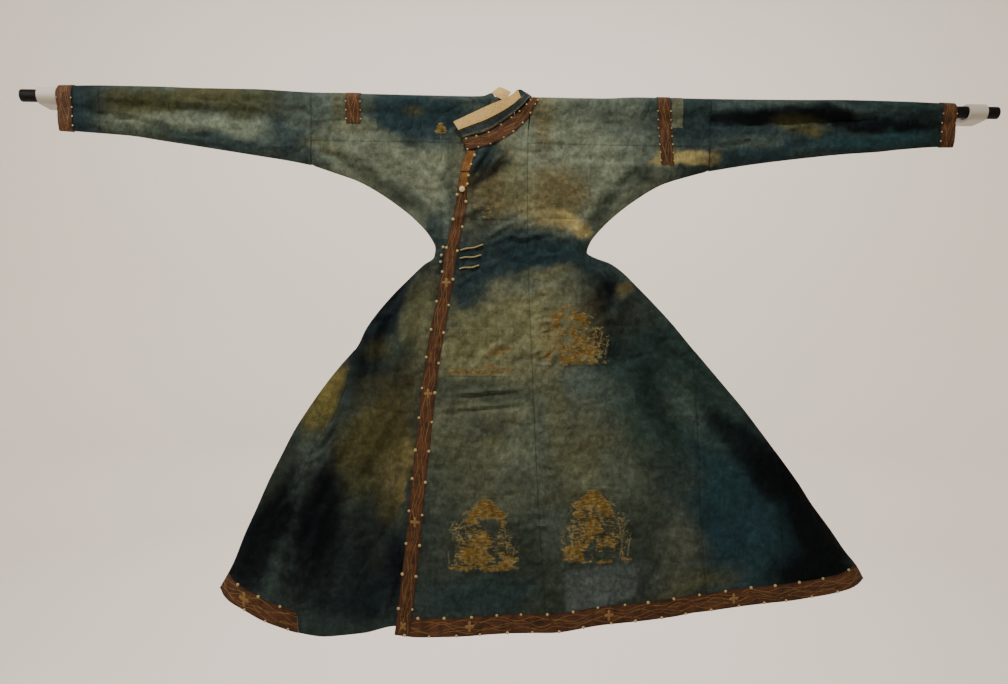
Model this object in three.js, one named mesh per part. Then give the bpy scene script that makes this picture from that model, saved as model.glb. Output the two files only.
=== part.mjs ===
// A brocade silk robe that wraps over the chest, hung flat on a rod through both sleeves.
// Millimetres. The rod's axis lies along X at y = 0, z = 0; the front of the robe faces -Y and +Z is up.
// Every piece of cloth is a closed wall between an outer face and an inner face.
import * as THREE from "three";

// ---------------------------------------------------------------- driving sizes
const CLOTH = 1.6; // wall of silk with its lining
const TRIM = 1.2; // wall of a woven border
const SEAM = 0.3; // space between two pieces at a seam
const ROD_RADIUS = 14.5;
const ROD_LENGTH = 2344;
const ROD_SIDES = 24;
const OVER_ROD = 17; // outer radius of the cloth where it bends over the rod
const WAIST_Z = -365;
const HEM_Z = -1136; // height of the hem's row, before its droop
const HEM_BORDER_Z = -1100; // top of the hem's border, in the same heights
const DROOP_POWER = 1.5;
const SHOULDER_SEAM_Z = -98;
const SLEEVE_SEAM = { left: -493, right: 461 };
const CUFF_SEAM = { left: -987, right: 968 };
const CUFF_END = { left: -1084, right: 1062 };
const CUFF_BORDER = 34;
const BACK_SEAM_X = -10;
const EDGE_HALF = CLOTH + SEAM / 2; // half of the depth where front and back are sewn together
const EDGE_ROUNDING = 40; // width over which the hollow closes towards an edge
const WALL_FACE_Y = 48; // plane of the wall behind the rod's brackets

const COLOR = {
  silk: 0x2a3b42,
  lining: 0xc9ad6a,
  border: 0x5b3a22,
  button: 0xd8c89a,
  cord: 0xb9a070,
  rod: 0x0c0c0c,
  bracket: 0xeeeeea,
};

// Top edge of the sleeves and shoulders over the rod.
const TOP_EDGE = [
  { x: -1084, z: 24 },
  { x: -986, z: 27 },
  { x: -870, z: 27 },
  { x: -753, z: 25 },
  { x: -637, z: 25 },
  { x: -493, z: 19.5 },
  { x: -117, z: 17.2 },
  { x: -86, z: 18.5 },
  { x: -65, z: 26 },
  { x: 20, z: 19 },
  { x: 45, z: 17.5 },
  { x: 194, z: 17.5 },
  { x: 290, z: 22 },
  { x: 462, z: 21.5 },
  { x: 679, z: 23 },
  { x: 801, z: 25 },
  { x: 924, z: 24 },
  { x: 1062, z: 20 },
];

// Bottom fold of each sleeve, from the cuff to the seam where the body begins.
const SLEEVE_BOTTOM = {
  left: [
    { x: -1084, z: -80 },
    { x: -985, z: -86 },
    { x: -915, z: -91 },
    { x: -845, z: -101 },
    { x: -752, z: -114 },
    { x: -635, z: -131 },
    { x: -541, z: -145 },
    { x: -493, z: -154 },
  ],
  right: [
    { x: 461, z: -154 },
    { x: 558, z: -137 },
    { x: 680, z: -120 },
    { x: 802, z: -106 },
    { x: 876, z: -100 },
    { x: 925, z: -94 },
    { x: 1029, z: -85 },
    { x: 1062, z: -84 },
  ],
};

// Underarm and side seam of the body, from the sleeve to the hem's corner.
const SIDE = {
  left: [
    { z: -1157, x: -697 },
    { z: -1100, x: -667 },
    { z: -1030, x: -640 },
    { z: -971, x: -614 },
    { z: -905, x: -586 },
    { z: -841, x: -555 },
    { z: -787, x: -528 },
    { z: -740, x: -499 },
    { z: -676, x: -455 },
    { z: -631, x: -420 },
    { z: -581, x: -379 },
    { z: -546, x: -363 },
    { z: -510, x: -339 },
    { z: -462, x: -299 },
    { z: -417, x: -255 },
    { z: -388, x: -225 },
    { z: -370, x: -201 },
    { z: -349, x: -198 },
    { z: -318, x: -213 },
    { z: -278, x: -250 },
    { z: -245, x: -292 },
    { z: -213, x: -341 },
    { z: -190, x: -385 },
    { z: -171, x: -441 },
    { z: -154, x: -493 },
  ],
  right: [
    { z: -1136, x: 845 },
    { z: -1105, x: 828 },
    { z: -1069, x: 799 },
    { z: -1016, x: 762 },
    { z: -956, x: 717 },
    { z: -908, x: 686 },
    { z: -856, x: 648 },
    { z: -791, x: 599 },
    { z: -729, x: 551 },
    { z: -674, x: 504 },
    { z: -631, x: 467 },
    { z: -574, x: 418 },
    { z: -524, x: 376 },
    { z: -475, x: 330 },
    { z: -435, x: 290 },
    { z: -402, x: 256 },
    { z: -380, x: 225 },
    { z: -366, x: 186 },
    { z: -355, x: 168 },
    { z: -332, x: 175 },
    { z: -298, x: 201 },
    { z: -259, x: 242 },
    { z: -218, x: 297 },
    { z: -188, x: 349 },
    { z: -165, x: 420 },
    { z: -154, x: 461 },
  ],
};

// Lowest line of each layer of the skirt.
const HEM = {
  outer: [
    { x: -282, z: -1257 },
    { x: -224, z: -1264 },
    { x: -153, z: -1261 },
    { x: -35, z: -1254 },
    { x: 79, z: -1256 },
    { x: 202, z: -1236 },
    { x: 309, z: -1227 },
    { x: 357, z: -1222 },
    { x: 441, z: -1209 },
    { x: 561, z: -1188 },
    { x: 658, z: -1184 },
    { x: 730, z: -1174 },
    { x: 791, z: -1158 },
    { x: 845, z: -1136 },
  ],
  inner: [
    { x: -697, z: -1157 },
    { x: -684, z: -1172 },
    { x: -644, z: -1195 },
    { x: -593, z: -1222 },
    { x: -546, z: -1241 },
    { x: -511, z: -1255 },
    { x: -446, z: -1268 },
    { x: -399, z: -1264 },
    { x: -353, z: -1257 },
    { x: -282, z: -1240 },
    { x: -153, z: -1243 },
    { x: 60, z: -1240 },
    { x: 210, z: -1230 },
    { x: 310, z: -1225 },
    { x: 360, z: -1216 },
  ],
  back: [
    { x: -697, z: -1157 },
    { x: -593, z: -1204 },
    { x: -511, z: -1230 },
    { x: -399, z: -1242 },
    { x: -282, z: -1244 },
    { x: -100, z: -1244 },
    { x: 79, z: -1236 },
    { x: 309, z: -1208 },
    { x: 561, z: -1172 },
    { x: 730, z: -1156 },
    { x: 845, z: -1136 },
  ],
};

// Half of the body's depth, front to back, at each height below the rod's axis.
const HALF_DEPTH = [
  { z: -1136, half: 25 },
  { z: -900, half: 20 },
  { z: -650, half: 15 },
  { z: -450, half: 11.5 },
  { z: -370, half: 10 },
  { z: -250, half: 12 },
  { z: -160, half: 12.5 },
  { z: -90, half: 11 },
  { z: -50, half: 9.8 },
  { z: -32, half: 11.5 },
  { z: -14, half: 16 },
  { z: 0, half: OVER_ROD },
];

// How far the outer front lies before the inner front.
const OVERLAP_LIFT = [
  { z: -1136, lift: 9 },
  { z: -800, lift: 6 },
  { z: -370, lift: 3.6 },
  { z: -40, lift: 3.3 },
  { z: -6, lift: 0 },
];

// How far the whole skirt swings forward of the rod.
const SWING = [
  { z: -1136, forward: 8 },
  { z: -700, forward: 3 },
  { z: -370, forward: 0 },
  { z: -300, forward: 0 },
];

// Seams and free edges inside the body.
const FRONT_SEAM = [
  { z: -1225, x: 74 },
  { z: -977, x: 55 },
  { z: -660, x: 38 },
  { z: -400, x: 26 },
  { z: -235, x: 22 },
  { z: -95, x: 22 },
  { z: 20, x: 27 },
];
const WRAP_EDGE = [
  { z: -1266, x: -282 },
  { z: -1209, x: -276 },
  { z: -1122, x: -267 },
  { z: -1039, x: -258 },
  { z: -945, x: -251 },
  { z: -804, x: -237 },
  { z: -650, x: -222 },
  { z: -568, x: -210 },
  { z: -497, x: -197 },
  { z: -426, x: -184 },
  { z: -343, x: -170 },
  { z: -261, x: -152 },
  { z: -209, x: -145 },
  { z: -178, x: -141 },
  { z: -142, x: -132 },
  { z: -118, x: -124 },
  { z: -104, x: -129 },
  { z: -90, x: -133 },
  { z: -83, x: -111 },
  { z: -78, x: -88 },
  { z: -64, x: -60 },
  { z: -49, x: -39 },
  { z: -33, x: -17 },
  { z: -20, x: 0 },
  { z: -8, x: 13 },
];
const BORDER_WIDTH = [
  { z: -1266, wide: 35 },
  { z: -900, wide: 34 },
  { z: -568, wide: 34 },
  { z: -383, wide: 30 },
  { z: -260, wide: 27 },
  { z: -205, wide: 23 },
  { z: -118, wide: 22 },
];
const UNDERLAP_EDGE = [
  { z: -1229, x: 360 },
  { z: -1000, x: 290 },
  { z: -700, x: 210 },
  { z: -450, x: 128 },
  { z: -370, x: 108 },
  { z: -250, x: 112 },
  { z: -140, x: 100 },
  { z: -98, x: 70 },
];
const INNER_SEAM = [
  { z: -1243, x: -92 },
  { z: -950, x: -70 },
  { z: -650, x: -52 },
  { z: -370, x: -38 },
  { z: -98, x: -30 },
];
const GORE_SEAM_LEFT = [
  { z: -1248, x: -508 },
  { z: -1219, x: -510 },
  { z: -1154, x: -524 },
  { z: -1054, x: -534 },
  { z: -1005, x: -533 },
  { z: -935, x: -521 },
  { z: -833, x: -481 },
  { z: -796, x: -459 },
  { z: -755, x: -434 },
  { z: -667, x: -401 },
  { z: -592, x: -384 },
];
const GORE_SEAM_RIGHT = [
  { z: -1193, x: 458 },
  { z: -1041, x: 444 },
  { z: -800, x: 436 },
  { z: -655, x: 430 },
  { z: -590, x: 424 },
];
const CORNER_SEAM_RIGHT = [
  { z: -1182, x: 650 },
  { z: -1038, x: 642 },
  { z: -935, x: 634 },
  { z: -830, x: 625 },
];

// Broad ridges and troughs that run down the skirt and widen towards the hem (depth is outward).
const HEM_RIDGES = {
  both: [
    { hemX: -600, depth: 5, width: 70 },
    { hemX: -340, depth: -4, width: 90 },
    { hemX: -60, depth: 5, width: 90 },
    { hemX: 240, depth: -5, width: 90 },
    { hemX: 520, depth: 6, width: 90 },
    { hemX: 740, depth: -4, width: 60 },
  ],
  front: [
    { hemX: -560, depth: 6, width: 50 },
    { hemX: -440, depth: -7, width: 60 },
    { hemX: -310, depth: 7, width: 55 },
    { hemX: -110, depth: 6, width: 80 },
    { hemX: 60, depth: -5, width: 70 },
    { hemX: 215, depth: 7, width: 75 },
    { hemX: 385, depth: -7, width: 70 },
    { hemX: 545, depth: 8, width: 70 },
    { hemX: 690, depth: -6, width: 60 },
  ],
  back: [
    { hemX: -540, depth: -6, width: 70 },
    { hemX: -380, depth: 5, width: 70 },
    { hemX: -190, depth: -7, width: 80 },
    { hemX: 20, depth: 6, width: 90 },
    { hemX: 250, depth: -6, width: 80 },
    { hemX: 450, depth: 6, width: 80 },
    { hemX: 640, depth: -5, width: 70 },
  ],
};

// The largest single folds, each along a straight line (depth is outward).
const FOLDS = {
  front: [
    { fromX: -205, fromZ: -390, toX: -318, toZ: -525, depth: -6, width: 26 },
    { fromX: -318, fromZ: -525, toX: -362, toZ: -690, depth: -7, width: 28 },
    { fromX: -262, fromZ: -520, toX: -300, toZ: -720, depth: 5, width: 40 },
    { fromX: 165, fromZ: -385, toX: 240, toZ: -478, depth: -6, width: 26 },
    { fromX: 292, fromZ: -540, toX: 450, toZ: -660, depth: -6, width: 34 },
    { fromX: 200, fromZ: -540, toX: 420, toZ: -900, depth: -6, width: 52 },
    { fromX: 120, fromZ: -620, toX: 300, toZ: -1000, depth: 5, width: 60 },
    { fromX: -90, fromZ: -345, toX: 40, toZ: -285, depth: 3.5, width: 28 },
    { fromX: 60, fromZ: -240, toX: 120, toZ: -320, depth: 3, width: 34 },
  ],
  back: [
    { fromX: -150, fromZ: -400, toX: -330, toZ: -760, depth: -6, width: 50 },
    { fromX: 130, fromZ: -400, toX: 330, toZ: -800, depth: -6, width: 52 },
    { fromX: -40, fromZ: -330, toX: -60, toZ: -620, depth: 4, width: 46 },
    { fromX: 60, fromZ: -240, toX: -120, toZ: -330, depth: -3, width: 34 },
  ],
};

// The wrap's top corner leans forward along a line from the neck border to the front border.
const CORNER_LEAN = {
  fromX: -40,
  fromZ: -96,
  toX: -115,
  toZ: -206,
  depth: 5,
  width: 60,
};

// Heights of the rows of points down the body; the panels share them.
const ROWS = [
  -125, -152, -168, -188, -213, -245, -278, -318, -345, -358, -372, -395, -430, -475, -530, -590,
  -655, -715, -775, -830, -885, -940, -1000, -1055,
];
const CLOSING_ROWS = [HEM_BORDER_Z, HEM_Z];
const WRAP_ROWS = [
  -8, -20, -33, -49, -64, -78, -84, -90, -104, -118, -142, -166, -169, -203, -206, -245, -278,
  -318, -345, -372, -395, -430, -475, -530, -590, -655, -715, -775, -830, -885, -940, -1000, -1055,
];
const GORE_TOP = { left: -590, right: -590, corner: -830 };

// ---------------------------------------------------------------- curves
const { clamp, lerp, smoothstep } = THREE.MathUtils;

// A smooth curve through a table's rows, which never swings past them.
function curve(rows, key, value) {
  const sorted = [...rows].sort((a, b) => a[key] - b[key]);
  const xs = sorted.map((row) => row[key]);
  const ys = sorted.map((row) => row[value]);
  const rise = xs.slice(1).map((x, i) => (ys[i + 1] - ys[i]) / (x - xs[i]));
  const slope = xs.map((_, i) => {
    if (i === 0) return rise[0];
    if (i === rise.length) return rise[i - 1];
    const product = rise[i - 1] * rise[i];
    return product <= 0 ? 0 : (2 * product) / (rise[i - 1] + rise[i]);
  });
  return (at) => {
    const x = clamp(at, xs[0], xs[xs.length - 1]);
    let i = 0;
    while (i < rise.length - 1 && x > xs[i + 1]) i += 1;
    const step = xs[i + 1] - xs[i];
    const t = (x - xs[i]) / step;
    const keepStart = (1 + 2 * t) * (1 - t) ** 2;
    const leaveStart = t * (1 - t) ** 2;
    const keepEnd = t * t * (3 - 2 * t);
    const reachEnd = t * t * (t - 1);
    const bend = step * (leaveStart * slope[i] + reachEnd * slope[i + 1]);
    return keepStart * ys[i] + keepEnd * ys[i + 1] + bend;
  };
}

const topEdge = curve(TOP_EDGE, "x", "z");
const halfDepth = curve(HALF_DEPTH, "z", "half");
const overlapLift = curve(OVERLAP_LIFT, "z", "lift");
const swing = curve(SWING, "z", "forward");
const borderWidth = curve(BORDER_WIDTH, "z", "wide");
const sleeveBottom = {
  left: curve(SLEEVE_BOTTOM.left, "x", "z"),
  right: curve(SLEEVE_BOTTOM.right, "x", "z"),
};

// Fall from the waist (0) to the hem (1).
const fall = (h) => clamp((WAIST_Z - h) / (WAIST_Z - HEM_Z), 0, 1);

// x of a side seam along the skirt's rows; its hem corner may hang lower than HEM_Z.
function sideSeam(name) {
  const cornerDrop = SIDE[name][0].z - HEM_Z;
  const rows = SIDE[name].map(({ x, z }) => {
    let h = z;
    for (let i = 0; i < 12; i += 1) h = z - cornerDrop * fall(h) ** DROOP_POWER;
    return { x, h };
  });
  return curve(rows, "h", "x");
}
const side = { left: sideSeam("left"), right: sideSeam("right") };

// The skirt's rows are arcs that follow the hem: row h lies at height h, less its droop.
const hemLine = {
  outer: curve(HEM.outer, "x", "z"),
  inner: curve(HEM.inner, "x", "z"),
  back: curve(HEM.back, "x", "z"),
};
function droop(layer, x, h) {
  const across = (x - side.left(h)) / (side.right(h) - side.left(h));
  const hemX = lerp(SIDE.left[0].x, SIDE.right[0].x, across);
  return (hemLine[layer](hemX) - HEM_Z) * fall(h) ** DROOP_POWER;
}

// The row that passes through height z at x.
function rowThrough(layer, x, z) {
  let h = z;
  for (let i = 0; i < 12; i += 1) h = z - droop(layer, x, h);
  return Math.max(h, HEM_Z);
}

// A seam or edge as x along the rows, from its table of places on the hanging robe.
function seam(layer, table) {
  const rows = table.map(({ x, z }) => ({ x, h: rowThrough(layer, x, z) }));
  return curve(rows, "h", "x");
}

const frontSeam = seam("outer", FRONT_SEAM);
const wrapEdge = seam("outer", WRAP_EDGE);
const underlapEdge = seam("inner", UNDERLAP_EDGE);
const innerSeam = seam("inner", INNER_SEAM);

// ---------------------------------------------------------------- surfaces of the hanging cloth
// Points along the sleeve's bottom, the underarm and the side seam, where front and back meet.
function edgeLine(name) {
  const cuff = CUFF_END[name];
  const steps = 60;
  const points = [];
  for (let i = 0; i <= steps; i += 1) {
    const x = lerp(cuff, SLEEVE_SEAM[name], i / steps);
    points.push(new THREE.Vector2(x, sleeveBottom[name](x)));
  }
  const start = SLEEVE_BOTTOM[name].find((row) => row.x === SLEEVE_SEAM[name]).z;
  for (let i = 1; i <= 2 * steps; i += 1) {
    const h = lerp(start, HEM_Z - EDGE_ROUNDING, i / (2 * steps));
    points.push(new THREE.Vector2(side[name](h), h));
  }
  return points;
}
const EDGE = { left: edgeLine("left"), right: edgeLine("right") };

function distanceToLine(points, x, z) {
  let nearest = Infinity;
  for (let i = 0; i < points.length - 1; i += 1) {
    const alongX = points[i + 1].x - points[i].x;
    const alongZ = points[i + 1].y - points[i].y;
    const t = clamp(
      ((x - points[i].x) * alongX + (z - points[i].y) * alongZ) / (alongX ** 2 + alongZ ** 2),
      0,
      1,
    );
    const away = Math.hypot(x - points[i].x - t * alongX, z - points[i].y - t * alongZ);
    nearest = Math.min(nearest, away);
  }
  return nearest;
}

const rounding = (distance) => 1 - (1 - Math.min(distance / EDGE_ROUNDING, 1)) ** 2;
const edgeRounding = (x, h) =>
  rounding(Math.min(distanceToLine(EDGE.left, x, h), distanceToLine(EDGE.right, x, h)));

// Half of the depth between the outer faces of front and back.
function half(x, h, round) {
  if (h > 0) return OVER_ROD * Math.sqrt(Math.max(0, 1 - (h / topEdge(x)) ** 2));
  return lerp(EDGE_HALF, halfDepth(h), round);
}

function ridges(table, x, h) {
  const hemX = x / lerp(0.3, 1, fall(h));
  const sum = table.reduce((total, row) => {
    const away = (hemX - row.hemX) / row.width;
    return total + row.depth * Math.exp(-(away ** 2));
  }, 0);
  return sum * fall(h) ** 1.4;
}

function folds(table, x, h) {
  return table.reduce((total, row) => {
    const line = [new THREE.Vector2(row.fromX, row.fromZ), new THREE.Vector2(row.toX, row.toZ)];
    return total + row.depth * Math.exp(-((distanceToLine(line, x, h) / row.width) ** 2));
  }, 0);
}

function cornerLean(x, h) {
  const alongX = CORNER_LEAN.toX - CORNER_LEAN.fromX;
  const alongZ = CORNER_LEAN.toZ - CORNER_LEAN.fromZ;
  const outside =
    ((x - CORNER_LEAN.fromX) * alongZ - (h - CORNER_LEAN.fromZ) * alongX) / Math.hypot(alongX, alongZ);
  const across = smoothstep(outside, 0, CORNER_LEAN.width);
  const below = smoothstep(-h, 40, 100);
  const above = 1 - smoothstep(-h, 160, 240);
  return CORNER_LEAN.depth * across * below * above;
}

// y of each layer's outer face at x on row h. Front layers face -Y, the back faces +Y.
const FACE = {
  inner(x, h) {
    const round = edgeRounding(x, h);
    const relief = ridges(HEM_RIDGES.front, x, h) + folds(FOLDS.front, x, h);
    return middle(x, h) - half(x, h, round) - relief * round;
  },
  outer(x, h) {
    const pastUnderlap = smoothstep(x, underlapEdge(h) + 15, underlapEdge(h) + 75);
    const toSide = rounding(distanceToLine(EDGE.right, x, h));
    const lift = overlapLift(h) * (1 - pastUnderlap) * toSide;
    return FACE.inner(x, h) - lift - cornerLean(x, h);
  },
  back(x, h) {
    const round = edgeRounding(x, h);
    const relief = ridges(HEM_RIDGES.back, x, h) + folds(FOLDS.back, x, h);
    return middle(x, h) + half(x, h, round) + relief * round;
  },
};
const middle = (x, h) => -swing(h) - ridges(HEM_RIDGES.both, x, h);
const OUTWARD = { inner: -1, outer: -1, back: 1 };

// The point at x on row h of a layer, moved out of its face.
function place(layer, x, h, out = 0) {
  return new THREE.Vector3(x, FACE[layer](x, h) + OUTWARD[layer] * out, h + droop(layer, x, h));
}

// ---------------------------------------------------------------- walls
const robe = new THREE.Group();

function addMesh(name, geometry, color) {
  const material = new THREE.MeshStandardMaterial({ color, roughness: 0.7, metalness: 0 });
  const mesh = new THREE.Mesh(geometry, material);
  mesh.name = name;
  robe.add(mesh);
  return mesh;
}

// Six times the volume inside a closed surface; it is negative when the faces point inwards.
function signedVolume(points, triangles) {
  let sum = 0;
  for (const [a, b, c] of triangles) sum += points[a].dot(points[b].clone().cross(points[c]));
  return sum;
}

// The closed wall between two grids of points; a ring's rows close on themselves.
function addWall(name, color, outer, inner, ring = false) {
  const rows = outer.length;
  const columns = outer[0].length;
  const points = [...outer.flat(), ...inner.flat()];
  const at = (face, row, column) => face * rows * columns + row * columns + (column % columns);
  const triangles = [];
  const quad = (a, b, c, d) => triangles.push([a, b, c], [a, c, d]);
  const lastColumn = ring ? columns : columns - 1;
  for (let r = 0; r < rows - 1; r += 1) {
    for (let c = 0; c < lastColumn; c += 1) {
      quad(at(0, r, c), at(0, r, c + 1), at(0, r + 1, c + 1), at(0, r + 1, c));
      quad(at(1, r, c), at(1, r + 1, c), at(1, r + 1, c + 1), at(1, r, c + 1));
    }
    if (!ring) {
      quad(at(0, r, 0), at(0, r + 1, 0), at(1, r + 1, 0), at(1, r, 0));
      quad(at(0, r + 1, lastColumn), at(0, r, lastColumn), at(1, r, lastColumn), at(1, r + 1, lastColumn));
    }
  }
  for (let c = 0; c < lastColumn; c += 1) {
    quad(at(0, 0, c + 1), at(0, 0, c), at(1, 0, c), at(1, 0, c + 1));
    quad(at(0, rows - 1, c), at(0, rows - 1, c + 1), at(1, rows - 1, c + 1), at(1, rows - 1, c));
  }
  const facing = signedVolume(points, triangles) > 0 ? triangles : triangles.map(([a, b, c]) => [a, c, b]);
  const geometry = new THREE.BufferGeometry().setFromPoints(points);
  geometry.setIndex(facing.flat());
  geometry.computeVertexNormals();
  return addMesh(name, geometry, color);
}

// A panel of a layer: for each row, the x of each of its points.
function addPanel(name, layer, rows, xsOnRow, color = COLOR.silk) {
  const grid = (out) => rows.map((h) => xsOnRow(h).map((x) => place(layer, x, h, out)));
  addWall(name, color, grid(0), grid(-CLOTH));
}

// A border on a panel, made from the panel's own points moved out.
function addBorder(name, layer, rows, xsOnRow, lift = SEAM) {
  const grid = (out) => rows.map((h) => xsOnRow(h).map((x) => place(layer, x, h, out)));
  addWall(name, COLOR.border, grid(lift + TRIM), grid(lift));
}

const spread = (from, to, count) => Array.from({ length: count + 1 }, (_, i) => lerp(from, to, i / count));

// ---------------------------------------------------------------- rod and brackets
function addRod() {
  const rod = new THREE.CylinderGeometry(ROD_RADIUS, ROD_RADIUS, ROD_LENGTH, ROD_SIDES);
  addMesh("rod", rod.rotateZ(Math.PI / 2), COLOR.rod);
}

// A strap round the rod with two arms that run back to a foot on the wall.
const BRACKET = { width: 44, strap: 5, clear: 0.4, foot: 5 };
function addBracket(name, x) {
  const hole = ROD_RADIUS + BRACKET.clear;
  const outside = hole + BRACKET.strap;
  const outline = new THREE.Shape();
  outline.absarc(0, 0, outside, Math.PI / 2, (3 * Math.PI) / 2, false);
  outline.lineTo(WALL_FACE_Y, -outside);
  outline.lineTo(WALL_FACE_Y, outside);
  outline.closePath();
  const opening = new THREE.Path();
  opening.absarc(0, 0, hole, Math.PI / 2, (3 * Math.PI) / 2, false);
  opening.lineTo(WALL_FACE_Y - BRACKET.foot, -hole);
  opening.lineTo(WALL_FACE_Y - BRACKET.foot, hole);
  opening.closePath();
  outline.holes.push(opening);
  const strap = new THREE.ExtrudeGeometry(outline, {
    depth: BRACKET.width,
    bevelEnabled: false,
    curveSegments: 16,
  });
  // The outline's x becomes the row's y, its y becomes z, and the extrusion runs along x.
  strap.applyMatrix4(
    new THREE.Matrix4().makeBasis(
      new THREE.Vector3(0, 1, 0),
      new THREE.Vector3(0, 0, 1),
      new THREE.Vector3(1, 0, 0),
    ),
  );
  addMesh(name, strap.translate(x - BRACKET.width / 2, 0, 0), COLOR.bracket);
}

// ---------------------------------------------------------------- sleeves and shoulders
// Stops round a section over the rod: heights on the front, angles over the rod, heights on the back.
const ARC_STOPS = [30, 60, 90, 120, 150].map((degrees) => ({ angle: THREE.MathUtils.degToRad(degrees) }));
const stopsOver = (heights) => [
  ...heights.map((z) => ({ layer: "outer", z })),
  ...ARC_STOPS,
  ...[...heights].reverse().map((z) => ({ layer: "back", z })),
];

// The point at a stop of the section at x, moved out; front names the layer that the front belongs to.
function overRod(x, stop, out, front) {
  if (stop.angle === undefined) {
    const layer = stop.layer === "back" ? "back" : front;
    return new THREE.Vector3(x, FACE[layer](x, stop.z) + OUTWARD[layer] * out, stop.z);
  }
  const across = (OVER_ROD + out) * Math.cos(stop.angle);
  const up = (topEdge(x) + out) * Math.sin(stop.angle);
  return new THREE.Vector3(x, -across, up);
}

// A sleeve is a tube from x to x, closed along its bottom fold.
const SLEEVE_STOPS = [0.87, 0.66, 0.42, 0.25, 0.1, 0];
function sleeveSection(name, x, out) {
  const bottom = sleeveBottom[name](x);
  const fold = EDGE_HALF + out;
  const stops = stopsOver(SLEEVE_STOPS.map((share) => share * bottom));
  return [
    new THREE.Vector3(x, -fold, bottom - out),
    ...stops.map((stop) => overRod(x, stop, out, "inner")),
    new THREE.Vector3(x, fold, bottom - out),
  ];
}

function addSleeve(nodeName, name, xs) {
  const grid = (out) => xs.map((x) => sleeveSection(name, x, out));
  addWall(nodeName, COLOR.silk, grid(0), grid(-CLOTH), true);
}

function addCuffBorder(nodeName, name, xs) {
  const grid = (out) => xs.map((x) => sleeveSection(name, x, out));
  addWall(nodeName, COLOR.border, grid(SEAM + TRIM), grid(SEAM), true);
}

// A shoulder is folded over the rod; its neck edge has an x of its own at each stop.
const SHOULDER_HEIGHTS = [SHOULDER_SEAM_Z, -75, -50, -32, -14, 0];
const NECK_EDGE = {
  left: {
    front: [70, 45, 12, -20, -44, -54],
    over: [-58, -63, -65, -60, -46],
    back: [-26, -10, -10, -10, -10, -10].map((x) => x - SEAM / 2),
  },
  right: {
    front: [22, 23, 25, 27, 27, 28].map((x) => x + SEAM / 2),
    over: [30, 35, 38, 36, 28],
    back: [10, -10, -10, -10, -10, -10].map((x) => x + SEAM / 2),
  },
};

function addShoulder(nodeName, name, frontLayer, columns) {
  const edge = NECK_EDGE[name];
  const neck = [...edge.front, ...edge.over, ...edge.back];
  const stops = stopsOver(SHOULDER_HEIGHTS);
  const grid = (out) =>
    stops.map((stop, i) =>
      spread(SLEEVE_SEAM[name], neck[i], columns).map((x) => overRod(x, stop, out, frontLayer)),
    );
  addWall(nodeName, COLOR.silk, grid(0), grid(-CLOTH));
}

// A band sewn over the upper arm, from a height on the front to the same height on the back.
function addArmBand(nodeName, { low, topX, lowX, wide, front }) {
  const heights = [low, ...[-125, ...SHOULDER_HEIGHTS].filter((z) => z > low + 8)];
  const stops = stopsOver(heights);
  const grid = (out) =>
    stops.map((stop) => {
      const left = lerp(topX, lowX, clamp((stop.z ?? 0) / low, 0, 1));
      return spread(left, left + wide, 1).map((x) => overRod(x, stop, out, front));
    });
  addWall(nodeName, COLOR.border, grid(SEAM + TRIM), grid(SEAM));
}

// ---------------------------------------------------------------- panels of the body
// x of the outline on a row, and of a gore's seam, which starts as a point on the outline.
function goreSeam(layer, name, table, top) {
  const line = seam(layer, table);
  const inwards = name === "left" ? 1 : -1;
  return (h) => {
    const outline = side[name](h);
    if (h > top) return outline;
    if (h === top) return outline + inwards;
    return line(h);
  };
}

const goreSeamOf = {
  innerLeft: goreSeam("inner", "left", GORE_SEAM_LEFT, GORE_TOP.left),
  outerRight: goreSeam("outer", "right", GORE_SEAM_RIGHT, GORE_TOP.right),
  outerCorner: goreSeam("outer", "right", CORNER_SEAM_RIGHT, GORE_TOP.corner),
  backLeft: goreSeam("back", "left", GORE_SEAM_LEFT, GORE_TOP.left),
  backRight: goreSeam("back", "right", GORE_SEAM_RIGHT, GORE_TOP.right),
};

const bodyRows = [SHOULDER_SEAM_Z - SEAM, ...ROWS, ...CLOSING_ROWS];
const rowsFrom = (top) => bodyRows.filter((h) => h <= top);

// Points across each panel, by row.
const across = {
  wrap(h) {
    const left = wrapEdge(h);
    const right = frontSeam(h) - SEAM / 2;
    const border = Math.min(borderWidth(h), (right - left) / 2);
    return [left, ...spread(left + border, right, 6)];
  },
  frontRight(h) {
    const right = goreSeamOf.outerRight(h) - gapBelow(h, GORE_TOP.right);
    return spread(frontSeam(h) + SEAM / 2, right, 13);
  },
  goreRight(h) {
    const right = goreSeamOf.outerCorner(h) - gapBelow(h, GORE_TOP.corner);
    return spread(goreSeamOf.outerRight(h), right, 5);
  },
  cornerRight: (h) => spread(goreSeamOf.outerCorner(h), side.right(h), 4),
  frontLeft(h) {
    const left = goreSeamOf.innerLeft(h) + gapBelow(h, GORE_TOP.left);
    return spread(left, innerSeam(h) - SEAM / 2, 8);
  },
  underlap: (h) => spread(innerSeam(h) + SEAM / 2, underlapEdge(h), 6),
  goreLeft: (h) => spread(side.left(h), goreSeamOf.innerLeft(h), 5),
  backLeft(h) {
    const left = goreSeamOf.backLeft(h) + gapBelow(h, GORE_TOP.left);
    return spread(left, BACK_SEAM_X - SEAM / 2, 12);
  },
  backRight(h) {
    const right = goreSeamOf.backRight(h) - gapBelow(h, GORE_TOP.right);
    return spread(BACK_SEAM_X + SEAM / 2, right, 13);
  },
  backGoreLeft: (h) => spread(side.left(h), goreSeamOf.backLeft(h), 5),
  backGoreRight: (h) => spread(goreSeamOf.backRight(h), side.right(h), 7),
};
function gapBelow(h, top) {
  return h <= top ? SEAM : 0;
}

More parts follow.
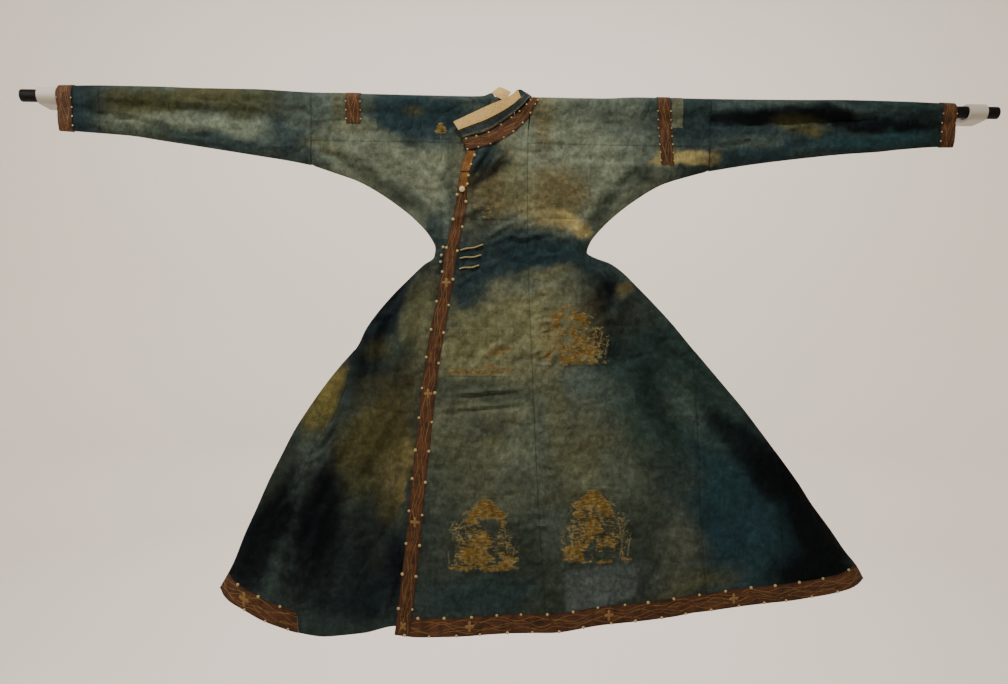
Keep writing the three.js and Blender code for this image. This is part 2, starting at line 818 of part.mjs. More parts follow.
function addPanels() {
  addPanel("front_wrap", "outer", [...WRAP_ROWS, ...CLOSING_ROWS], across.wrap);
  addPanel("front_right", "outer", bodyRows, across.frontRight);
  addPanel("front_gore_right", "outer", rowsFrom(GORE_TOP.right), across.goreRight);
  addPanel("front_corner_right", "outer", rowsFrom(GORE_TOP.corner), across.cornerRight);
  addPanel("front_left", "inner", bodyRows, across.frontLeft);
  addPanel("front_underlap", "inner", bodyRows, across.underlap);
  addPanel("front_gore_left", "inner", rowsFrom(GORE_TOP.left), across.goreLeft);
  addPanel("back_left", "back", bodyRows, across.backLeft);
  addPanel("back_right", "back", bodyRows, across.backRight);
  addPanel("back_gore_left", "back", rowsFrom(GORE_TOP.left), across.backGoreLeft);
  addPanel("back_gore_right", "back", rowsFrom(GORE_TOP.right), across.backGoreRight);
}

// ---------------------------------------------------------------- borders
const alongHem = (...panels) => (h) => panels.flatMap((xs, i) => (i === 0 ? xs(h) : xs(h).slice(1)));

// The neck border crosses the wrap's seam, so it stands a little further off the cloth.
const NECK_BORDER_LIFT = 0.9;
const NECK_BORDER = [
  { upX: -132.5, upZ: -91, lowX: -125, lowZ: -116 },
  { upX: -111, upZ: -83.5, lowX: -102, lowZ: -111 },
  { upX: -88, upZ: -78.5, lowX: -78, lowZ: -105 },
  { upX: -60, upZ: -64.5, lowX: -50, lowZ: -93 },
  { upX: -39, upZ: -49.5, lowX: -28, lowZ: -80 },
  { upX: -17, upZ: -33.5, lowX: -8, lowZ: -66 },
  { upX: 0, upZ: -20.5, lowX: 12, lowZ: -46 },
  { upX: 13, upZ: -8.5, lowX: 26, lowZ: -28 },
  { upX: 25, upZ: 4, lowX: 37, lowZ: -8 },
  { upX: 29, upZ: 9, lowX: 42, lowZ: 0 },
  { upX: 32, upZ: 13, lowX: 46, lowZ: 8 },
];

function addBorders() {
  const edgeBorder = (h) => across.wrap(h).slice(0, 2);
  const wrapRows = [...WRAP_ROWS, ...CLOSING_ROWS];
  const between = (top, bottom) => wrapRows.filter((h) => h <= top && h >= bottom);
  addBorder("border_tab_upper", "outer", between(-118, -166), edgeBorder);
  addBorder("border_tab_lower", "outer", between(-169, -203), edgeBorder);
  addBorder("border_front", "outer", between(-206, HEM_BORDER_Z), edgeBorder);
  addBorder("border_corner", "outer", [HEM_BORDER_Z - 1, HEM_Z], edgeBorder);

  const wrapPastCorner = (h) => across.wrap(h).slice(1).map((x, i) => (i === 0 ? x + SEAM : x));
  const pastCorner = alongHem(wrapPastCorner, across.frontRight, across.goreRight, across.cornerRight);
  addBorder("border_hem_front", "outer", CLOSING_ROWS, pastCorner);
  addBorder("border_hem_left", "inner", CLOSING_ROWS, across.goreLeft);
  addBorder("border_hem_back_left", "back", CLOSING_ROWS, alongHem(across.backGoreLeft, across.backLeft));
  const backRight = alongHem(across.backRight, across.backGoreRight);
  addBorder("border_hem_back_right", "back", CLOSING_ROWS, backRight);

  const neck = (out) =>
    NECK_BORDER.map(({ upX, upZ, lowX, lowZ }) =>
      [0, 0.5, 1].map((t) => place("outer", lerp(upX, lowX, t), lerp(upZ, lowZ, t), out)),
    );
  addWall("border_neck", COLOR.border, neck(NECK_BORDER_LIFT + TRIM), neck(NECK_BORDER_LIFT));
}

// ---------------------------------------------------------------- collar
// The band stands on the neck edge, crosses the chest and turns back over the rod at the neck's right.
const COLLAR_LINING_FROM = 0.48; // share of the band's height where the turned-out lining begins
const COLLAR = [
  { lowX: -133, lowZ: -87, upX: -156, upZ: -50, upY: -20.5 },
  { lowX: -111, lowZ: -80, upX: -128, upZ: -36, upY: -20.5 },
  { lowX: -88, lowZ: -74.5, upX: -93, upZ: -19, upY: -20.5 },
  { lowX: -62, lowZ: -61.5, upX: -66, upZ: -6, upY: -20.5 },
  { lowX: -41, lowZ: -46.5, upX: -44, upZ: 3, upY: -20.5 },
  { lowX: -19, lowZ: -30.5, upX: -26, upZ: 12, upY: -20.5 },
  { lowX: -3, lowZ: -18, upX: -14, upZ: 20, upY: -20.5 },
  { lowX: 10, lowZ: -6, upX: -4, upZ: 29, upY: -20 },
];
const COLLAR_TURN = [
  { lowX: 21, lowY: -17, lowZ: 8, upX: 4, upY: -15, upZ: 31 },
  { lowX: 27, lowY: -10, lowZ: 17, upX: 12, upY: -6, upZ: 30 },
  { lowX: 31, lowY: 0, lowZ: 19.5, upX: 18, upY: 2, upZ: 28 },
  { lowX: 31, lowY: 9, lowZ: 19.5, upX: 22, upY: 9, upZ: 26 },
];

function collarGrid(out) {
  const front = COLLAR.map(({ lowX, lowZ, upX, upZ, upY }) => {
    const low = place("outer", lowX, lowZ);
    return [low, new THREE.Vector3(upX, upY, upZ)];
  });
  const turn = COLLAR_TURN.map(({ lowX, lowY, lowZ, upX, upY, upZ }) => [
    new THREE.Vector3(lowX, lowY, lowZ),
    new THREE.Vector3(upX, upY, upZ),
  ]);
  const stations = [...front, ...turn];
  return stations.map(([low, up], i) => {
    const before = stations[Math.max(i - 1, 0)];
    const after = stations[Math.min(i + 1, stations.length - 1)];
    const along = after[0].clone().add(after[1]).sub(before[0]).sub(before[1]);
    const outwards = along.cross(up.clone().sub(low)).normalize().negate();
    if (outwards.y > 0 && i < front.length) outwards.negate();
    return [0, COLLAR_LINING_FROM, 1].map((t) => low.clone().lerp(up, t).addScaledVector(outwards, out));
  });
}

function addCollar() {
  addWall("collar_band", COLOR.silk, collarGrid(0), collarGrid(-CLOTH));
  const turnedOut = (out) =>
    collarGrid(out)
      .slice(0, COLLAR.length)
      .map((row) => row.slice(1));
  addWall("collar_lining", COLOR.lining, turnedOut(SEAM + TRIM), turnedOut(SEAM));
}

// The other end of the band, which shows its lining at the neck's left.
const INNER_COLLAR = { faceY: -17.9, wall: 1.4, leanBack: 8 };
const INNER_COLLAR_ENDS = [
  { upX: -48, upZ: 39, lowX: -64, lowZ: 29.5 },
  { upX: -35, upZ: 32, lowX: -48, lowZ: 20 },
  { upX: -20, upZ: 24, lowX: -31, lowZ: 9 },
];
function addInnerCollar() {
  const last = INNER_COLLAR_ENDS.length - 1;
  const grid = (out) =>
    INNER_COLLAR_ENDS.map(({ upX, upZ, lowX, lowZ }, i) => {
      const y = INNER_COLLAR.faceY + INNER_COLLAR.leanBack * (1 - i / last) ** 2 + out;
      return [new THREE.Vector3(upX, y, upZ), new THREE.Vector3(lowX, y, lowZ)];
    });
  addWall("collar_inner_end", COLOR.lining, grid(0), grid(INNER_COLLAR.wall));
}

// The back of the collar stands on the back neck edge, behind the rod.
const BACK_COLLAR = { faceY: 18.2, top: 23 };
const BACK_COLLAR_FOOT = [
  { x: -58, z: 18 },
  { x: -45, z: 11.5 },
  { x: -26, z: 1.5 },
  { x: -10, z: -12 },
  { x: 10, z: 1.5 },
  { x: 28, z: 11 },
  { x: 35, z: 16 },
];
function addBackCollar() {
  const grid = (y) =>
    BACK_COLLAR_FOOT.map(({ x, z }) => [
      new THREE.Vector3(x, y, z),
      new THREE.Vector3(x, y, BACK_COLLAR.top),
    ]);
  addWall("collar_back", COLOR.silk, grid(BACK_COLLAR.faceY), grid(BACK_COLLAR.faceY - CLOTH));
}

// ---------------------------------------------------------------- buttons and cords
// A domed button with a flat back that lies on the cloth or on a border.
function addButton(name, layer, { x, z, radius, thick, lift }) {
  const profile = [
    new THREE.Vector2(0, 0),
    new THREE.Vector2(radius * 0.8, 0),
    new THREE.Vector2(radius, thick * 0.4),
    new THREE.Vector2(radius * 0.75, thick * 0.85),
    new THREE.Vector2(0, thick),
  ];
  const button = new THREE.LatheGeometry(profile, 14).rotateX(Math.PI);
  const seat = place(layer, x, rowThrough(layer, x, z), lift);
  addMesh(name, button, COLOR.button).position.copy(seat);
}

const CORD = { radius: 1.8, sides: 8, lift: 0.5 };
const CORDS = [
  { fromX: -137, fromZ: -354, toX: -83, toZ: -341 },
  { fromX: -138, fromZ: -373, toX: -87, toZ: -366 },
  { fromX: -139, fromZ: -398, toX: -92, toZ: -390 },
];
function addCord(name, { fromX, fromZ, toX, toZ }) {
  const path = spread(0, 1, 4).map((t) => {
    const x = lerp(fromX, toX, t);
    return place("outer", x, rowThrough("outer", x, lerp(fromZ, toZ, t)), CORD.radius + CORD.lift);
  });
  const ring = Array.from({ length: CORD.sides }, (_, i) => {
    const angle = (i / CORD.sides) * 2 * Math.PI;
    return new THREE.Vector2(Math.cos(angle) * CORD.radius, Math.sin(angle) * CORD.radius);
  });
  const cord = new THREE.ExtrudeGeometry(new THREE.Shape(ring), {
    steps: 6,
    bevelEnabled: false,
    extrudePath: new THREE.CatmullRomCurve3(path),
  });
  addMesh(name, cord, COLOR.cord);
}

// ---------------------------------------------------------------- assembly
addRod();
addBracket("bracket_left", -1108);
addBracket("bracket_right", 1117);

addSleeve("sleeve_left", "left", spread(SLEEVE_SEAM.left - SEAM, CUFF_SEAM.left, 9));
addSleeve("sleeve_right", "right", spread(SLEEVE_SEAM.right + SEAM, CUFF_SEAM.right, 9));
const CUFF_XS = {
  left: [CUFF_SEAM.left - SEAM, CUFF_END.left + CUFF_BORDER, CUFF_END.left],
  right: [CUFF_SEAM.right + SEAM, CUFF_END.right - CUFF_BORDER, CUFF_END.right],
};
for (const name of ["left", "right"]) {
  addSleeve(`cuff_${name}`, name, CUFF_XS[name]);
  addCuffBorder(`border_cuff_${name}`, name, CUFF_XS[name].slice(1));
}
addShoulder("shoulder_left", "left", "inner", 9);
addShoulder("shoulder_right", "right", "outer", 9);
addArmBand("arm_band_left", { low: -54, topX: -411, lowX: -410, wide: 34, front: "inner" });
addArmBand("arm_band_right", { low: -142, topX: 332, lowX: 343, wide: 31, front: "outer" });
addPanels();
addBorders();
addCollar();
addInnerCollar();
addBackCollar();

addButton("button_front", "outer", { x: -134, z: -209, radius: 7, thick: 5, lift: SEAM + TRIM + 0.7 });
const WAIST_BUTTONS = [
  { x: -178, z: -346, lift: 1.3 },
  { x: -182, z: -365, lift: 1.5 },
  { x: -184, z: -381, lift: 1.2 },
];
WAIST_BUTTONS.forEach((button, i) => {
  addButton(`button_waist_${i + 1}`, "inner", { ...button, radius: 3.4, thick: 4 });
});
CORDS.forEach((cord, i) => addCord(`cord_waist_${i + 1}`, cord));

export default robe;
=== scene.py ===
"""The look of a worn brocade silk robe on its rod: finer cloth on the part's own form, its creases,
seams, stains, a little painted shadow, woven borders and worn gold patterns, with a pale studio round
it.

Tables are in millimetres in the part's frame: x to the viewer's right, y to the wall, z up.
"""

import math

import bpy
import numpy as np
from mathutils import Matrix, Vector


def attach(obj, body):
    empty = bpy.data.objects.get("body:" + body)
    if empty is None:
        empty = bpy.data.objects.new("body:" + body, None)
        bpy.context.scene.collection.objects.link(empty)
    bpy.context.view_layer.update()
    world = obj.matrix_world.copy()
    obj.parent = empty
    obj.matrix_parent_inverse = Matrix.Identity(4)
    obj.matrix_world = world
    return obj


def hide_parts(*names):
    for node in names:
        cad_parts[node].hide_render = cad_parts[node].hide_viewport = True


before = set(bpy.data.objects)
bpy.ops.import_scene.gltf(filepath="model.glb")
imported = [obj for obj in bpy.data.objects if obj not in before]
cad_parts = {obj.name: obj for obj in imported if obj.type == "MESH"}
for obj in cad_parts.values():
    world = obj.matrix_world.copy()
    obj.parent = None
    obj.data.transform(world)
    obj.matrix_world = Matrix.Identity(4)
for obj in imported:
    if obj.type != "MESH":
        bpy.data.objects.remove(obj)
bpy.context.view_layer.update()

MM = 0.001

# ---------------------------------------------------------------- sizes of the cloth
CLOTH = 1.6  # wall of the silk with its lining
TRIM = 1.2  # wall of the borders and of the collar's lining
SEAM = 0.3  # gap between two pieces
OVER_ROD = 17  # the cloth's reach over the rod, from its axis
WAIST_Z = -365
HEM_Z = -1136
HEM_BORDER_Z = -1100
DROOP_POWER = 1.5  # how the rows bend towards the hem's line
SHOULDER_SEAM_Z = -98
SLEEVE_SEAM = {"left": -493, "right": 461}
CUFF_SEAM = {"left": -987, "right": 968}
CUFF_END = {"left": -1084, "right": 1062}
CUFF_BORDER = 34
BACK_SEAM_X = -10
EDGE_HALF = CLOTH + SEAM / 2  # half the robe's thickness at its side edges
EDGE_ROUNDING = 40
GORE_TOP = {"left": -590, "right": -590, "corner": -830}
STEP = 4.5  # distance between the points of the cloth
BACK_STEP = 7.5
UNDERLAP_STEP = 10


# ---------------------------------------------------------------- tables of the robe's form
def table(width, text):
    """The rows of a table with that many numbers a row."""
    return np.array(text.split(), float).reshape(-1, width).tolist()


# The cloth's top line over the rod: x, z.
TOP_EDGE = table(2, """
-1084 24  -986 27  -870 27  -753 25  -637 25  -493 19.5  -117 17.2  -86 18.5  -65 26  20 19
45 17.5  194 17.5  290 22  462 21.5  679 23  801 25  924 24  1062 20
""")
# The lower edges of the sleeves: x, z.
SLEEVE_BOTTOM = {
    "left": table(2, """
-1084 -80  -985 -86  -915 -91  -845 -101  -752 -114  -635 -131  -541 -145  -493 -154
"""),
    "right": table(2, """
461 -154  558 -137  680 -120  802 -106  876 -100  925 -94  1029 -85  1062 -84
"""),
}
# The side seams: z, x.
SIDE = {
    "left": table(2, """
-1157 -697  -1100 -667  -1030 -640  -971 -614  -905 -586  -841 -555  -787 -528  -740 -499
-676 -455  -631 -420  -581 -379  -546 -363  -510 -339  -462 -299  -417 -255  -388 -225
-370 -201  -349 -198  -318 -213  -278 -250  -245 -292  -213 -341  -190 -385  -171 -441
-154 -493
"""),
    "right": table(2, """
-1136 845  -1105 828  -1069 799  -1016 762  -956 717  -908 686  -856 648  -791 599  -729 551
-674 504  -631 467  -574 418  -524 376  -475 330  -435 290  -402 256  -380 225  -366 186
-355 168  -332 175  -298 201  -259 242  -218 297  -188 349  -165 420  -154 461
"""),
}
# The hems of the outer front, the inner front and the back: x, z.
HEM = {
    "outer": table(2, """
-282 -1257  -224 -1264  -153 -1261  -35 -1254  79 -1256  202 -1236  309 -1227  357 -1222
441 -1209  561 -1188  658 -1184  730 -1174  791 -1158  845 -1136
"""),
    "inner": table(2, """
-697 -1157  -684 -1172  -644 -1195  -593 -1222  -546 -1241  -511 -1255  -446 -1268  -399 -1264
-353 -1257  -282 -1240  -153 -1243  60 -1240  210 -1230  310 -1225  360 -1216
"""),
    "back": table(2, """
-697 -1157  -593 -1204  -511 -1230  -399 -1242  -282 -1244  -100 -1244  79 -1236  309 -1208
561 -1172  730 -1156  845 -1136
"""),
}
# Half the robe's depth: z, depth.
HALF_DEPTH = [
    (-1136, 25), (-900, 20), (-650, 15), (-450, 11.5), (-370, 10), (-250, 12),
    (-160, 12.5), (-90, 11), (-50, 9.8), (-32, 11.5), (-14, 16), (0, OVER_ROD),
]
# How far the outer front stands before the inner one: z, lift.
OVERLAP_LIFT = table(2, """
-1136 9  -800 6  -370 3.6  -40 3.3  -6 0
""")
# How far the robe's middle hangs forward of the rod: z, distance.
SWING = table(2, """
-1136 8  -700 3  -370 0  -300 0
""")
# The outer front's centre seam: z, x.
FRONT_SEAM = table(2, """
-1225 74  -977 55  -660 38  -400 26  -235 22  -95 22  20 27
""")
# The free edge of the outer front: z, x.
WRAP_EDGE = table(2, """
-1266 -282  -1209 -276  -1122 -267  -1039 -258  -945 -251  -804 -237  -650 -222  -568 -210
-497 -197  -426 -184  -343 -170  -261 -152  -209 -145  -178 -141  -142 -132  -118 -124
-104 -129  -90 -133  -83 -111  -78 -88  -64 -60  -49 -39  -33 -17  -20 0  -8 13
""")
# The front border: z, how wide.
BORDER_WIDTH = table(2, """
-1266 35  -900 34  -568 34  -383 30  -260 27  -205 23  -118 22
""")
# The free edge of the inner front: z, x.
UNDERLAP_EDGE = table(2, """
-1229 360  -1000 290  -700 210  -450 128  -370 108  -250 112  -140 100  -98 70
""")
# The seams of the gores: z, x.
GORE_SEAM_LEFT = table(2, """
-1248 -508  -1219 -510  -1154 -524  -1054 -534  -1005 -533  -935 -521  -833 -481  -796 -459
-755 -434  -667 -401  -592 -384
""")
GORE_SEAM_RIGHT = table(2, """
-1193 458  -1041 444  -800 436  -655 430  -590 424
""")
CORNER_SEAM_RIGHT = table(2, """
-1182 650  -1038 642  -935 634  -830 625
""")
# The skirt's waves: x at the hem, depth, width.
HEM_RIDGES = {
    "both": table(3, """
-600 5 70  -340 -4 90  -60 5 90  240 -5 90  520 6 90  740 -4 60
"""),
    "front": table(3, """
-560 6 50  -440 -7 60  -310 7 55  -110 6 80  60 -5 70  215 7 75  385 -7 70  545 8 70  690 -6 60
"""),
    "back": table(3, """
-540 -6 70  -380 5 70  -190 -7 80  20 6 90  250 -6 80  450 6 80  640 -5 70
"""),
}
# Folds: x and z of both ends, depth, width.
FOLDS = {
    "front": table(6, """
-205 -390 -318 -525 -6 26  -318 -525 -362 -690 -7 28  -262 -520 -300 -720 5 40
165 -385 240 -478 -6 26  292 -540 450 -660 -6 34  200 -540 420 -900 -6 52
120 -620 300 -1000 5 60  -90 -345 40 -285 3.5 28  60 -240 120 -320 3 34
"""),
    "back": table(6, """
-150 -400 -330 -760 -6 50  130 -400 330 -800 -6 52  -40 -330 -60 -620 4 46
60 -240 -120 -330 -3 34
"""),
}
# The neck border's upper and lower edge: x, z, x, z.
NECK_BORDER = table(4, """
-132.5 -91 -125 -116  -111 -83.5 -102 -111  -88 -78.5 -78 -105  -60 -64.5 -50 -93
-39 -49.5 -28 -80  -17 -33.5 -8 -66  0 -20.5 12 -46  13 -8.5 26 -28  25 4 37 -8  29 9 42 0
32 13 46 8
""")
# The collar from its end to the neck's right: x and z of its foot, x, z and y of its fold.
COLLAR = table(5, """
-133 -87 -156 -50 -20.5  -111 -80 -128 -36 -20.5  -88 -74.5 -93 -19 -20.5
-62 -61.5 -66 -6 -20.5  -41 -46.5 -44 3 -20.5  -19 -30.5 -26 12 -20.5  -3 -18 -14 20 -20.5
10 -6 -4 29 -20
""")
# The collar's turn over the rod: x, y, z of its foot, then of its fold.
COLLAR_TURN = table(6, """
21 -17 8 4 -15 31  27 -10 17 12 -6 30  31 0 19.5 18 2 28  31 9 19.5 22 9 26
""")
# The inner collar's end: x and z of its upper, then of its lower edge.
INNER_COLLAR_ENDS = table(4, """
-48 39 -66 24  -35 32 -51 12  -20 24 -34 2
""")
# The foot of the collar at the back: x, z.
BACK_COLLAR_FOOT = table(2, """
-58 18  -45 11.5  -26 1.5  -10 -12  10 1.5  28 11  35 16
""")
# The inner front's centre seam: z, x.
INNER_SEAM = table(2, """
-1243 -92  -950 -70  -650 -52  -370 -38  -98 -30
""")
# The line that the wrap's top corner leans from: x, z to x, z, then depth, width.
CORNER_LEAN = (-40, -96, -115, -206, 5, 60)
# A crease on each line: depth outwards, width, then x and z of the places that it runs through.
DRAWN_CREASES = {
    "inner": """
-5 12  -194 -374 -255 -426 -313 -486 -355 -541
3 9  -206 -383 -267 -455 -315 -526
-5 10  -358 -546 -362 -597 -359 -645 -377 -685
3 9  -339 -534 -343 -597 -347 -659
-3 12  -278 -438 -313 -545 -328 -644
2.5 14  -243 -426 -266 -521 -282 -616
-2 14  -220 -414 -231 -521 -248 -644
2.2 6  -435 -768 -468 -820
-2 5  -426 -777 -458 -829
2 6  -444 -834 -495 -858
1.8 5  -421 -806 -449 -858
-1.8 6  -472 -876 -509 -905
-3 10  -510 -841 -530 -947 -538 -1089 -516 -1206
-3 14  -597 -995 -624 -1089 -640 -1159
-3 18  -438 -994 -449 -1112 -436 -1230
-3.5 16  -356 -994 -339 -1112 -347 -1207
2.5 12  -390 -1089 -385 -1183
3 7  -282 -1131 -300 -1183 -319 -1235
-2.5 10  -264 -781 -285 -994
-1.2 8  -446 -122 -332 -229
1.2 9  -394 -116 -252 -249
-1.4 9  -317 -120 -186 -272
1 8  -234 -119 -167 -236
-1.6 8  -280 -214 -204 -331
1.4 7  -339 -203 -214 -312
-1.8 6  -186 -189 -176 -343
1.2 6  -163 -165 -166 -331
-3.5 9  385 -32 530 -41 675 -34 846 -22 1017 -16
2.5 10  409 -8 578 -14 797 2
-1.5 8  434 -108 579 -86
-1.8 7  822 -65 993 -45
-1.8 9  -1004 -14 -865 -21 -703 -37 -540 -58
-1.6 8  -1026 -43 -888 -64 -726 -89
1.4 8  -680 -8 -517 -43
1.2 8  -633 -102 -504 -123
""",
    "outer": """
-6 11  -52 -109 -82 -153 -106 -191
3 9  -73 -112 -97 -150 -115 -179
2.4 10  -26 -92 -57 -140 -87 -188
-2.2 6  -81 -339 -50 -320 -20 -303 28 -288
1.8 6  -76 -325 -43 -306 -10 -286
-1.4 6  -95 -354 -43 -339 4 -324
-0.9 4  -8 -334 28 -336
-0.9 4  -6 -345 30 -346
-0.9 4  -8 -357 28 -358
-0.8 4  -4 -369 30 -371
-0.8 4  36 -946 60 -950
-0.9 4  34 -962 62 -968
-1 4  38 -985 64 -990
-0.8 4  36 -1005 58 -1012
-0.8 4  44 -1128 70 -1132
-1.6 7  22 -1158 44 -1161 66 -1155
1 7  -32 -273 16 -253 63 -240
-1.6 6  -146 -454 -123 -435 -85 -413
1.4 6  -148 -473 -113 -453 -66 -434
-1.3 6  -132 -421 -90 -396
-4 10  181 -369 224 -402 263 -449 292 -497
3 10  195 -393 239 -445 273 -511
-2.5 12  167 -379 196 -433 225 -497
2 12  210 -379 291 -444 359 -527
-4 12  328 -563 413 -622 481 -669 522 -693
2.5 12  317 -592 413 -663 498 -700
-2 10  414 -677 438 -729 448 -777
-4 30  197 -540 294 -682 391 -849
-4 12  294 -706 371 -813 425 -868
2.5 16  270 -683 362 -830
2 4.5  -189 -702 -134 -695 -64 -687 41 -679
-1.6 5  -189 -709 -134 -703 -64 -696 41 -687
1.8 4.5  -188 -735 -134 -730 -63 -723 31 -715
-1.4 5  -188 -742 -134 -737 -63 -730 32 -722
-1.2 6  -157 -787 -143 -832 -104 -884
-1.5 5  -110 -766 -63 -794
0.9 7  -129 -794 -164 -875
-3 6  26 -1142 54 -1147
-1.6 5  10 -981 69 -983
1.5 5  22 -1012 72 -1002
-2.5 22  439 -896 470 -1040 480 -1159
3 20  548 -944 598 -1063 623 -1135
-3 18  657 -944 712 -1051 756 -1116
-2 10  357 -1087 321 -1123 298 -1183
1.3 5  7 -661 74 -656
-1.3 5  12 -680 55 -675
1.2 10  241 -112 194 -208 159 -291
-1.4 10  312 -111 241 -207 190 -284
-0.8 8  133 -42 193 -89 288 -101
-1.2 8  51 -269 135 -289 195 -317
-2 12  268 -468 250 -588 260 -647
-1 9  53 -471 6 -566
-0.9 9  -89 -543 -111 -643
0.9 9  -42 -472 30 -542
-0.9 4  183 -98 203 -131 220 -155
-0.9 4  220 -155 315 -153
-1.2 5  296 -933 363 -940
1.1 5  308 -956 373 -963
-1.2 5  301 -983 363 -992
""",
    "back": """
-3 14  -170 -395 -250 -520 -300 -700
2.5 12  -150 -400 -215 -530 -255 -690
-3 14  150 -390 230 -500 300 -680
2.5 12  135 -400 200 -520 250 -680
-2 10  -120 -340 -20 -330 90 -345
1.6 8  -100 -352 10 -346 110 -356
-2 12  -300 -150 -180 -250
1.6 10  280 -150 170 -250
-2.5 18  -400 -800 -470 -1150
-2.5 18  420 -800 520 -1130
-3 9  -1000 -30 -760 -38 -520 -44
-3 9  500 -40 760 -36 1000 -28
""",
}
# Small creases strewn by chance: x from and to, z from and to, how many, length, the angle that
# they run at, how far it strays, depth, width.
GATHERS = {
    "outer": table(10, """
-10 68 -405 -300 16 34 0 20 1.3 4.5
40 78 -1120 -420 44 30 5 22 1.1 4.5
-190 -60 -330 -180 14 70 35 25 0.7 8
60 330 -330 -90 30 90 -50 30 0.8 9
-180 200 -900 -430 50 90 20 50 0.8 9
200 700 -1100 -450 50 130 -58 22 1.1 12
-200 420 -1200 -900 44 60 0 40 0.9 8
-100 160 -390 -320 12 60 8 18 0.9 7
"""),
    "inner": table(10, """
-480 -180 -340 -110 36 80 -45 28 0.8 8
-500 -260 -1200 -480 44 110 70 28 1.1 10
-620 -480 -1180 -800 16 100 60 22 1 10
-1080 -500 -120 -10 34 130 -7 10 0.9 6
470 1060 -120 -10 34 130 7 10 0.9 6
"""),
    "back": table(10, """
-480 460 -340 -60 50 90 0 50 0.9 9
-600 780 -1200 -420 90 120 80 30 1.1 11
-1080 -500 -120 -10 26 130 -7 10 0.9 6
470 1060 -120 -10 26 130 7 10 0.9 6
"""),
}
CREASE_SEED = 11
CREASE_STRENGTH = 1.7
CREASE_REACH = 4  # how far a crease is felt, in its own widths
RISE_BESIDE = 0.28  # how high the cloth lifts beside a trough
UNEVEN = [(0.8, 70, 3), (0.25, 22, 5)]  # height, size and seed of the cloth's unevenness
LEAST_LIFT = 2.2  # the outer front stays this far before the inner front's face
ROW_TRIES = 12  # rounds that find a row from its place


# ---------------------------------------------------------------- curves and noise
def smooth(value, low, high):
    """From 0 at low to 1 at high, with soft ends."""
    t = np.clip((value - low) / (high - low), 0, 1)
    return t * t * (3 - 2 * t)


def mix(a, b, t):
    return a + (b - a) * t


def curve(rows):
    """A smooth curve through the rows, which never swings past them."""
    xs, ys = np.array(sorted(rows), float).T
    rise = np.diff(ys) / np.diff(xs)
    slope = np.concatenate([rise[:1], np.zeros(len(rise) - 1), rise[-1:]])
    product = rise[:-1] * rise[1:]
    turns = product > 0
    slope[1:-1][turns] = 2 * product[turns] / (rise[:-1] + rise[1:])[turns]

    def at(x):
        x = np.clip(x, xs[0], xs[-1])
        i = np.clip(np.searchsorted(xs, x, side="right") - 1, 0, len(rise) - 1)
        step = xs[i + 1] - xs[i]
        t = (x - xs[i]) / step
        keep = t * t * (3 - 2 * t)
        bend = step * (t * (1 - t) ** 2 * slope[i] + t * t * (t - 1) * slope[i + 1])
        return mix(ys[i], ys[i + 1], keep) + bend

    return at


def noise(x, z, size, seed):
    """Smooth unevenness from -1 to 1, with lumps of that size."""
    lattice = np.random.default_rng(seed).uniform(-1, 1, (64, 64))
    u, v = np.asarray(x) / size, np.asarray(z) / size
    i, j = np.floor(u).astype(int), np.floor(v).astype(int)
    fu, fv = u - i, v - j
    fu, fv = fu * fu * (3 - 2 * fu), fv * fv * (3 - 2 * fv)
    low = mix(lattice[i % 64, j % 64], lattice[(i + 1) % 64, j % 64], fu)
    high = mix(lattice[i % 64, (j + 1) % 64], lattice[(i + 1) % 64, (j + 1) % 64], fu)
    return mix(low, high, fv)


def cloud(x, z, size, seed):
    """Noise of four sizes, each half the last."""
    return sum(noise(x, z, size / 2**k, seed + k) / 1.9**k for k in range(4)) / 1.6


def to_line(points, x, z):
    """Distance of each place from a line through points, and how far along it lies (0 to 1)."""
    points = np.asarray(points, float)
    steps = np.diff(points, axis=0)
    lengths = np.hypot(*steps.T)
    best, along = np.full(np.shape(x), np.inf), np.zeros(np.shape(x))
    for start, (dx, dz), length, run in zip(points, steps, lengths, np.cumsum(lengths)):
        t = np.clip(((x - start[0]) * dx + (z - start[1]) * dz) / length**2, 0, 1)
        away = np.hypot(x - start[0] - t * dx, z - start[1] - t * dz)
        along = np.where(away < best, (run - length * (1 - t)) / lengths.sum(), along)
        best = np.minimum(best, away)
    return best, along


# ---------------------------------------------------------------- the hanging cloth's form
top_edge = curve(TOP_EDGE)
half_depth = curve(HALF_DEPTH)
overlap_lift = curve(OVERLAP_LIFT)
swing = curve(SWING)
border_width = curve(BORDER_WIDTH)
sleeve_bottom = {name: curve(rows) for name, rows in SLEEVE_BOTTOM.items()}
hem_line = {name: curve(rows) for name, rows in HEM.items()}


def fall(h):
    """From the waist (0) to the hem (1)."""
    return np.clip((WAIST_Z - h) / (WAIST_Z - HEM_Z), 0, 1)


def side_seam(rows):
    """x of a side seam on the skirt's rows, from its table of places."""
    corner_z = rows[0][0]
    made = []
    for z, x in rows:
        h = z
        for _ in range(ROW_TRIES):
            h = z - (corner_z - HEM_Z) * fall(h) ** DROOP_POWER
        made.append((h, x))
    return curve(made)


side = {name: side_seam(rows) for name, rows in SIDE.items()}


def droop(layer, x, h):
    """The skirt's rows are arcs that follow the hem: how far row h lies below its height h at x."""
    across = (x - side["left"](h)) / (side["right"](h) - side["left"](h))
    hem_x = mix(SIDE["left"][0][1], SIDE["right"][0][1], across)
    return (hem_line[layer](hem_x) - HEM_Z) * fall(h) ** DROOP_POWER


def row_through(layer, x, z):
    """The row that passes through a place."""
    h = np.asarray(z, float)
    for _ in range(ROW_TRIES):
        h = z - droop(layer, x, h)
    return np.maximum(h, HEM_Z)


def seam(layer, places):
    """x of a seam on a layer's rows."""
    return curve([(float(row_through(layer, x, z)), x) for z, x in places])


